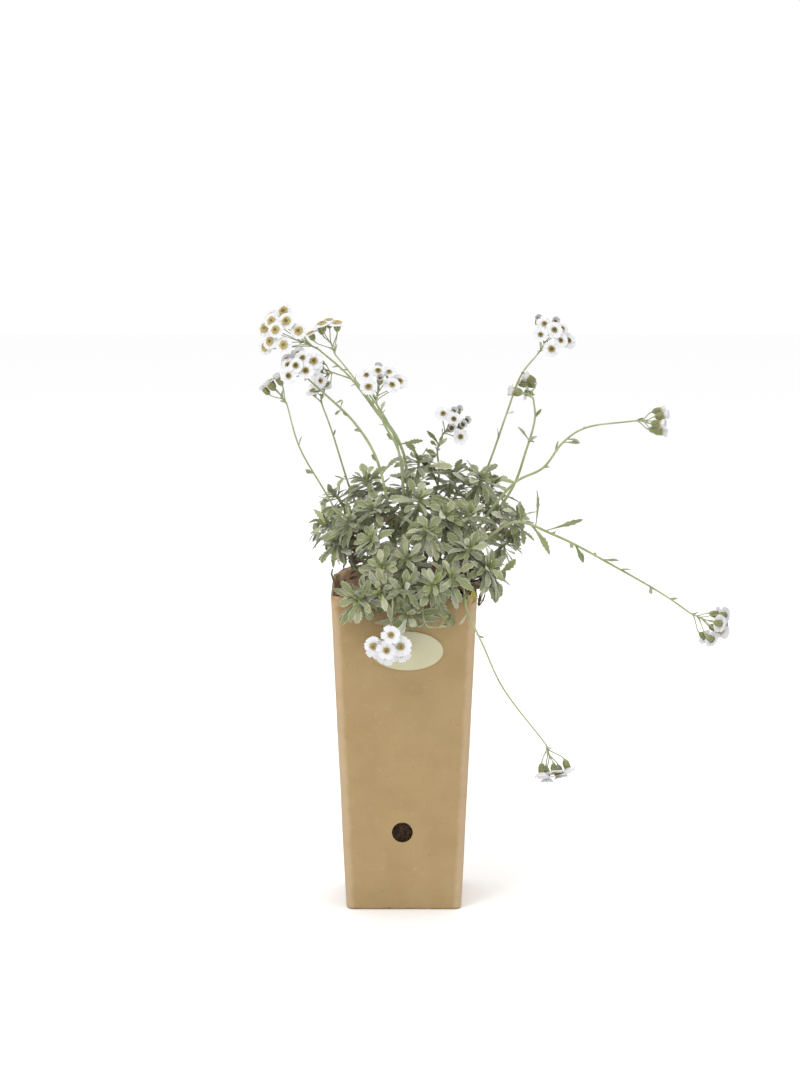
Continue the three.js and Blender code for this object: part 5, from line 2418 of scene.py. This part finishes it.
@dataclass
class FlowerCluster(StemPart):
    """A cluster of heads on short stalks that leave the end of a stem."""

    forms: HeadForms

    HEAD_RADIUS = 5
    OVERLAP = 0.9
    START_RADIUS = 0.5
    HUB_RADII = (0.62, 0.42)
    HUB_STEPS = (0.08, 0.35, 0.7, 1)
    HUB_SHARE = 0.42
    HUB_FEET = (0.92, 0.12)
    FIRST_SHARE = 0.4
    DOME_RADIUS = 13
    LOOK_SHARE = 1.5
    TRIES = 90
    STALK_RADIUS = 0.36
    STALK_SHAPE = (1, 0.95, 0.9, 0.9, 0.95, 1.05, 1.5)
    APEX = {False: 1.0, True: 1.68}
    CUP_END = {False: 5.15, True: 2.45}
    STALK_LEAN = 0.6
    STALK_PULLS = (0.22, 0.25)
    TONE_SHARE = 0.6
    AWAY_STEP = 200
    SHRINK_STEP = 300
    TURN_STEP = 0.04
    LIFT_STEP = 0.12
    NOD_STEP = 0.03
    RADIUS_SPREAD = 0.16
    RIPE_SPREAD = 0.5
    BRACTS = 3
    BRACT_KEY = 200
    BRACT_FEET = (0.02, 0.75)
    BRACT_LENGTHS = (6.5, 3.5)
    BRACT_WIDTH = 0.36
    BRACT_OPENING = 36
    BRACT_YOUTH = 0.3
    SHARP = 60

    def head(self, i: int, attempt: int) -> Head:
        """Returns where a head stands at an attempt.

        Args:
            i: The number of the head.
            attempt: How often it was placed anew.

        Returns:
            The head.
        """
        plan = self.plan
        branch, middle = vec(plan.route[-1]), vec(plan.middle)
        axis = unit(middle - branch)
        side, other = square(axis)

        def chance(use: int) -> float:
            """Returns a draw from -0.5 to 0.5."""
            return draw(self.plant, i, attempt, use) - 0.5

        share = math.sqrt((i + self.FIRST_SHARE) / plan.heads)
        away = plan.spread * share * (1 + attempt / self.AWAY_STEP)
        angle = i * GOLDEN_ANGLE + self.plant + chance(HeadUse.TURN.value) * attempt * self.TURN_STEP
        sag = away * away / (2 * self.DOME_RADIUS)
        lift = chance(HeadUse.LIFT.value) * attempt * self.LIFT_STEP - sag
        across = side * (away * math.cos(angle)) + other * (away * math.sin(angle))
        centre = middle + across + axis * lift
        facing = unit(unit(centre - branch) + unit(vec(plan.look)) * self.LOOK_SHARE)
        nods = np.array([chance(HeadUse.FACING.value + k) for k in range(3)])
        nod = nods * attempt * self.NOD_STEP
        spread = self.RADIUS_SPREAD * chance(HeadUse.RADIUS.value)
        radius = self.HEAD_RADIUS * (1 + spread - attempt / self.SHRINK_STEP)
        return Head(centre, unit(facing + nod), radius)

    def found(self, corners: NodePoints, i: int) -> Head:
        """Finds the attempt whose top the CAD node holds, or else gives the first.

        Args:
            corners: The corners of its CAD node.
            i: The number of the head.

        Returns:
            The head.
        """
        apex = self.APEX[self.plan.buds]
        attempts = (self.head(i, attempt) for attempt in range(self.TRIES))
        held = (head for head in attempts if corners.holds(head.centre + head.facing * apex))
        return next(held, self.head(i, 0))

    def form(self, i: int) -> Shape:
        """Picks the form of a head: in bud, half open, or open with a disc as ripe as its fellows.

        Args:
            i: The number of the head.

        Returns:
            Its form.
        """
        plan, forms = self.plan, self.forms
        if plan.buds:
            return forms.bud
        if i and draw(self.plant, i, 1, Use.FORM.value) < plan.half_open:
            return forms.spreading if plan.spreading else forms.half_open
        chance = draw(self.plant, i, 0, Use.FORM.value) - 0.5
        ripe = plan.ripeness + self.RIPE_SPREAD * chance
        return forms.open[int(min(max(ripe, 0), 0.99) * len(forms.open))]

    def laid(self, shape: Shape, head: Head, spin: float, scale: float) -> Array:
        """Returns the corners of a head shape at its place, spun round its own axis.

        Args:
            shape: The form.
            head: Where it stands.
            spin: How far it is spun.
            scale: Its size.

        Returns:
            The corners.
        """
        side, other = square(head.facing)
        x = side * math.cos(spin) + other * math.sin(spin)
        turned = np.array((x, np.cross(head.facing, x), head.facing))
        return shape.points * scale @ turned + head.centre

    def add_stalk(self, stalks: Stalks, foot: Array, head: Head, way: Array, scale: float) -> None:
        """Adds the bent stalk of a head.

        Args:
            stalks: What it is added to.
            foot: Where it leaves the hub.
            head: The head.
            way: The direction of the hub.
            scale: The size of the head.
        """
        end = head.centre - head.facing * self.CUP_END[self.plan.buds] * scale
        reach = float(np.linalg.norm(end - foot))
        first, last = self.STALK_PULLS
        leave = foot + (way * self.STALK_LEAN + unit(end - foot)) * reach * first
        points = self.bent(foot, leave, end - head.facing * reach * last, end)
        stalks.add(points, [self.STALK_RADIUS * share for share in self.STALK_SHAPE])

    def build(self) -> None:
        """Models the cluster, with the bracts at its branching, and dresses it."""
        forms, finishes = self.foliage.forms, self.foliage.finishes
        node = f"corymb_{self.number}"
        corners = NodePoints(node)
        plan, plant = self.plan, self.plant
        branch = vec(plan.route[-1])
        rod = vec(plan.middle) - branch
        axis = unit(rod)
        stalks, pile = Stalks(), Pile()
        start = branch - unit(branch - vec(plan.route[-2])) * self.OVERLAP
        hub = [branch + rod * (self.HUB_SHARE * s) for s in self.HUB_STEPS]
        radii = [mix(*self.HUB_RADII, s) for s in self.HUB_STEPS]
        stalks.add([start, *hub], [self.START_RADIUS, *radii])
        for i in range(plan.heads):
            head = self.found(corners, i)
            if plan.turned:
                head = replace(head, facing=head.facing * (1, -1, 1))
            spin = draw(plant, i, 0, Use.SPIN.value) * 2 * math.pi
            chance = draw(plant, i, 0, Use.TONE.value)
            tone = mix(chance, plan.ripeness, self.TONE_SHARE) + plan.pale
            scale = plan.size * (1 if plan.buds else head.radius / self.HEAD_RADIUS)
            shape = self.form(i)
            pile.add(shape, self.laid(shape, head, spin, scale), tone)
            foot = branch + rod * (self.HUB_SHARE * mix(*self.HUB_FEET, i / (plan.heads - 1)))
            self.add_stalk(stalks, foot, head, axis, scale)
        for j in range(self.BRACTS):
            key, climb = self.BRACT_KEY + j, j / (self.BRACTS - 1)
            root = branch + rod * (self.HUB_SHARE * mix(*self.BRACT_FEET, climb))
            length = mix(*self.BRACT_LENGTHS, climb)
            sizes = (self.BRACT_OPENING, length, length * self.BRACT_WIDTH)
            seat = LeafSeat(root, axis, j * GOLDEN_ANGLE + plant, *sizes, FloweringStem.VARIETY)
            leaf = forms.pick(forms.narrow, plant, key)
            leaf = leaf.dressed(HeadFinish.LEAF.value)
            laid = seat.grown(plant, key, 0).laid(leaf)
            pile.add(leaf, laid, draw(plant, key, 0, Use.TONE.value), self.BRACT_YOUTH)
        dress = [finishes.ray, finishes.disc, finishes.bract, finishes.leaf]
        heads = pile.build(f"flower_cluster_{self.number}", dress)
        whole = join(heads, stalks.build(finishes.stalk))
        finish_piece(whole, [node], sharp=self.SHARP)

    @staticmethod
    def bent(a: Array, b: Array, c: Array, d: Array) -> list[Array]:
        """Returns seven points of a soft bend from a to d that b and c pull out.

        Args:
            a: The first point.
            b: What pulls the start.
            c: What pulls the end.
            d: The last point.

        Returns:
            The points.
        """
        return [
            a * (1 - t) ** 3 + b * 3 * t * (1 - t) ** 2 + c * 3 * t * t * (1 - t) + d * t**3
            for t in (i / 6 for i in range(7))
        ]


# The flowering stems, from the left to the right and then those that hang over the rim
FLOWERING_STEMS = (
    StemPlan(
        ((-46, -6, 254), (-65, -2, 287), (-73, 2, 314)),
        (-83, 4, 328), (-0.5, -0.1, 0.6), 7, 5,
        ((0.5, 13), (0.62, 12), (0.76, 10)),
        half_open=0.7,
    ),
    StemPlan(
        ((-33, 20, 255), (-46, 28, 295), (-52, 30, 311)),
        (-53, 30, 323), (0.1, -0.5, 0.8), 6, 4,
        ((0.55, 12), (0.72, 10)),
    ),
    StemPlan(
        ((-16, -24, 280), (-30, -30, 305), (-48, -32, 323), (-59, -33, 333)),
        (-65, -45, 344), (-0.3, -1, 0.2), 11, 8,
        ((0.55, 12), (0.7, 11), (0.84, 9)),
        (
            ((-41, -31, 318), (-37, -34, 320), 2), ((-39, -31, 314), (-34, -34, 310), 2.6),
            ((-38, -31, 313), (-41, -34, 312), 2), ((-14, -20, 276), (-6, -23, 286), 3.6),
            ((-17, -24, 278), (-24, -27, 284), 3),
        ),
        ripeness=0.35, half_open=0.25,
    ),
    StemPlan(
        ((0, -7, 283), (-18, -7, 311), (-35, -8, 333), (-53, -10, 349)),
        (-80, -39, 364), (-0.3, -1, 0.3), 16, 10,
        ((0.62, 12), (0.74, 11), (0.86, 9)),
        ripeness=0.95,
    ),
    StemPlan(
        ((-1, 6, 285), (-18, 7, 311), (-34, 8, 333), (-43, 9, 344)),
        (-50, 14, 364), (-0.1, -0.3, 0.9), 12, 6,
        ((0.66, 11), (0.82, 9)),
        ripeness=0.8,
    ),
    StemPlan(
        ((-3, 18, 281), (-14, 17, 307), (-30, 16, 326), (-44, 15, 332)),
        (-55, 13, 331), (-0.5, -0.8, 0.2), 9, 7,
        ((0.6, 11), (0.78, 10)),
        ripeness=0.3, half_open=0.3,
    ),
    StemPlan(
        ((-3, -16, 285), (-12, -19, 303), (-17, -20, 317)),
        (-14, -30, 336), (0, -0.8, 0.5), 13, 8,
        ((0.6, 13), (0.74, 11), (0.86, 9)),
        (
            ((-3, -17, 292), (15, -20, 292), 3.4), ((1, -14, 265), (4, -17, 289), 4.4),
        ),
        ripeness=0.3, half_open=0.5,
    ),
    StemPlan(
        ((22, 9, 268), (21, 7, 284), (24, 5, 294)),
        (33, -8, 305), (0.1, -0.9, 0.3), 11, 8,
        ((0.68, 14), (0.74, 14), (0.8, 12), (0.86, 10)),
        (
            ((21, 8, 288), (18, 5, 297), 3.2), ((21, 8, 288), (23, 5, 294), 2.6),
            ((21, 8, 287), (17, 5, 292), 2.2), ((19, 9, 266), (17, 6, 284), 4.4),
            ((19, 9, 265), (9, 6, 285), 5.4),
        ),
        ripeness=0.1, half_open=0.85,
    ),
    StemPlan(
        ((53, 26, 271), (65, 28, 305), (74, 30, 329), (85, 31, 343)),
        (95, 19, 360), (0.1, -1, 0.3), 14, 9,
        ((0.5, 14), (0.6, 12), (0.7, 11), (0.8, 9)),
        ripeness=0.2, half_open=0.1,
    ),
    StemPlan(
        ((68, 8, 260), (76, 9, 282), (82, 10, 304), (81, 11, 316)),
        (73, 17, 325), (-0.9, -0.1, 0.1), 11, 6,
        ((0.66, 16), (0.8, 11)),
        (((78, 9, 291), (71, 6, 302), 2.6),),
        ripeness=0.3, half_open=0.7,
    ),
    StemPlan(
        ((67, -14, 265), (86, -17, 276), (98, -19, 292), (111, -21, 301), (142, -24, 306)),
        (160, -25, 306), (1, -0.2, 0.1), 11, 6,
        ((0.5, 14), (0.6, 13), (0.7, 12), (0.82, 10)),
        (((96, -19, 293), (107, -22, 294), 2.6),),
        half_open=0.85,
    ),
    StemPlan(
        ((66, -27, 243), (93, -32, 236), (130, -36, 217), (160, -40, 200), (176, -42, 189)),
        (196, -41, 180), (0.6, -0.6, -0.2), 13, 8,
        ((0.48, 14), (0.54, 13), (0.6, 14), (0.68, 11), (0.78, 11), (0.86, 9)),
        (
            ((78, -30, 241), (88, -33, 228), 4.6), ((81, -31, 243), (83, -34, 259), 3.8),
            ((71, -28, 247), (73, -31, 255), 4.2), ((87, -32, 239), (105, -35, 240), 3.2),
            ((104, -34, 230), (114, -37, 218), 4.4), ((123, -36, 221), (131, -39, 222), 2.6),
        ),
        ripeness=0.4, half_open=0.6, spreading=True, turned=True,
    ),
    StemPlan(
        ((35, -44, 208), (38, -57, 195), (48, -62, 173), (60, -62, 147), (87, -62, 111)),
        (92, -68, 93), (0.1, -0.3, -1), 10, 7,
        ((0.42, 12), (0.52, 12), (0.62, 11)),
        ripeness=0.3, half_open=0.8, spreading=True,
    ),
    StemPlan(
        ((-6, -40, 215), (-7, -55, 208), (-7, -62, 195), (-8, -60, 184)),
        (-9, -72, 170), (-0.1, -1, 0.1), 14, 7,
        ((0.5, 11),),
        ripeness=0.15, pale=0.6, size=1.22,
    ),
    StemPlan(
        ((12, -44, 206), (11, -58, 194), (14, -63, 185), (21, -63, 184)),
        (29, -62, 190), (0.6, -0.5, 0.6), 3.5, 6,
        ((0.74, 11), (0.84, 10)), ripeness=0, buds=True,
    ),
)

# The middles of the two rosettes of each shoot, from the front to the back
ROSETTES = (
    ((40, -44, 230), (52, -38, 217)),
    ((2, -48, 225), (-13, -50, 219)),
    ((-20, -38, 235), (-34, -26, 245)),
    ((29, -53, 214), (17, -57, 209)),
    ((-14, -58, 205), (-28, -57, 200)),
    ((2, -61, 191), (0, -58, 207)),
    ((25, -34, 249), (14, -44, 241)),
    ((41, -28, 249), (71, -12, 245)),
    ((9, -24, 258), (-19, -24, 252)),
    ((9, -3, 280), (-24, -4, 267)),
    ((31, 10, 268), (48, 0, 268)),
    ((57, 20, 262), (62, 30, 240)),
    ((-43, 14, 255), (-50, 22, 238)),
    ((66, -9, 229), (57, -20, 208)),
    ((-22, 34, 250), (-36, 40, 226)),
    ((4, 36, 260), (0, 52, 232)),
    ((34, 40, 254), (36, 52, 228)),
    ((-48, -2, 238), (-43, -15, 230)),
)


@dataclass
class Litter:
    """Dead leaves, a dry twig and two yellow leaves on the soil's edge and the rim."""

    foliage: Foliage

    TWIG = (
        (-41.5, -40.0, 200.5), (-42.5, -39.5, 207.0), (-44.5, -38.0, 213.0), (-43.8, -37.0, 216.0)
    )
    TWIG_RADII = (0.8, 0.65, 0.6, 0.4)
    PLANT = 70
    CURL = 0.35
    FOLD = 0.55
    DEAD = (
        ((-24, 22, 213), (-0.8, -0.5, 0.3), 11, 5), ((-27, 16, 218), (-0.5, -0.6, -0.3), 10, 4.5),
        ((-22, 12, 216), (-0.9, -0.2, -0.2), 12, 5), ((-28, 8, 220), (-0.9, -0.2, -0.4), 12, 4),
        ((41, -24, 201), (0.6, -0.7, -0.1), 14, 5.5), ((39, -33, 203), (0.9, -0.3, 0.2), 12, 5),
        ((43, -12, 202), (0.2, -0.9, 0.3), 13, 5), ((-36, -18, 196), (0.3, -0.8, 0.4), 13, 5.5),
        ((-22, 6, 196), (-0.8, -0.5, 0.2), 14, 5.5), ((25, 18, 197), (0.7, 0.4, 0.3), 14, 5.5),
        ((-8, 30, 194), (-0.2, 0.9, 0.2), 14, 5.5), ((12, -30, 194), (0.3, -0.9, 0.2), 13, 5.5),
    )
    YELLOW = (
        ((42, -42, 206), (0.35, -0.4, -0.85), 17, 6.5), ((-30, 4, 222), (-0.8, -0.5, 0.1), 9, 4),
    )

    def build(self) -> None:
        """Models the litter and dresses it."""
        foliage, finishes = self.foliage, self.foliage.finishes
        pile, stalks = Pile(), Stalks()
        for key, (root, way, length, width) in enumerate(self.DEAD + self.YELLOW):
            along = unit(vec(way))
            up = unit(vec((0, 0, 1)) - along * along[2])
            curl = self.CURL * (1 - 2 * (key % 2))
            blade = Blade(vec(root), along, up, length, width, curl, self.FOLD)
            yellow = float(key >= len(self.DEAD))
            foliage.add(pile, blade, foliage.forms.broad, self.PLANT, key, yellow)
        stalks.add([vec(p) for p in self.TWIG], self.TWIG_RADII)
        leaves = pile.build("dry_litter", [finishes.dry_leaf])
        finish_piece(join(leaves, stalks.build(finishes.dry_stalk)))


# Floor, light and camera
@dataclass
class Studio:
    """A plain pale floor, soft light and the camera."""

    look_at: Point = (-2.45, 0, 232.4)
    elevation: float = 8.5
    distance: float = 1800
    lens: float = 97.03
    sensor: float = 36
    floor_size: float = 9
    floor_colour: Colour = (0.93, 0.93, 0.93)
    sky: Colour = (1.0, 1.0, 1.0)
    sky_strength: float = 1.04

    LIT_PLACE = (0, 0, 0.22)
    LAMPS = (
        ("key", (-0.9, -1.2, 1.9), 0.9, 19), ("fill", (1.4, -1.2, 0.9), 1.4, 3),
        ("rim", (0.4, 1.3, 1.4), 1.0, 7),
    )

    def floor(self) -> None:
        """Lays the floor."""
        obj = primitive(bpy.ops.mesh.primitive_plane_add, size=self.floor_size)
        obj.name = "floor"
        coat = Coat.named("pale_floor")
        surface = coat.tree.nodes["Principled BSDF"]
        coat.feed(surface.inputs["Base Color"], self.floor_colour)
        coat.feed(surface.inputs["Roughness"], 0.8)
        obj.data.materials.append(coat.material)

    def lamp(self, name: str, place: Point, size: float, power: float) -> None:
        """Hangs a soft square lamp that shines at the plant.

        Args:
            name: Its name.
            place: Where it hangs, in metres.
            size: The length of its sides, in metres.
            power: Its power, in watts.
        """
        bpy.ops.object.light_add(type="AREA", location=place)
        lamp = bpy.context.object
        lamp.name = name
        lamp.data.size = size
        lamp.data.energy = power
        way = Vector(self.LIT_PLACE) - Vector(place)
        lamp.rotation_euler = way.to_track_quat("-Z", "Y").to_euler()

    def camera(self) -> None:
        """Sets up the camera at the photograph's angle."""
        tilt = math.radians(self.elevation)
        away = self.distance * MM
        x, y, z = (v * MM for v in self.look_at)
        place = (x, y - away * math.cos(tilt), z + away * math.sin(tilt))
        bpy.ops.object.camera_add(location=place, rotation=(math.pi / 2 - tilt, 0, 0))
        camera = bpy.context.object
        camera.data.lens = self.lens
        camera.data.sensor_width = self.sensor
        bpy.context.scene.camera = camera

    def build(self) -> None:
        """Sets everything up."""
        self.floor()
        world = bpy.data.worlds.new("soft_room")
        world.use_nodes = True
        background = world.node_tree.nodes["Background"]
        background.inputs["Color"].default_value = (*self.sky, 1)
        background.inputs["Strength"].default_value = self.sky_strength
        bpy.context.scene.world = world
        bpy.context.scene.view_settings.view_transform = "Standard"
        for lamp in self.LAMPS:
            self.lamp(*lamp)
        self.camera()


def main() -> None:
    """Builds the pieces in order, then the studio."""
    logging.basicConfig(level=logging.INFO, format="%(message)s")
    pot = Pot()
    soil = Soil(pot)
    finishes = Finishes(pot)
    foliage = Foliage(LeafForms(), pot, soil, finishes)
    heads = HeadForms()
    pot.build(finishes)
    Sticker().build(pot, finishes)
    soil.build(finishes)
    for number, tips in enumerate(ROSETTES, 1):
        LeafyShoot(foliage, number, tips).build()
    for number, plan in enumerate(FLOWERING_STEMS, 1):
        FloweringStem(foliage, number, plan).build()
        FlowerCluster(foliage, number, plan, heads).build()
    Litter(foliage).build()
    Studio().build()


if __name__ == "__main__":
    main()
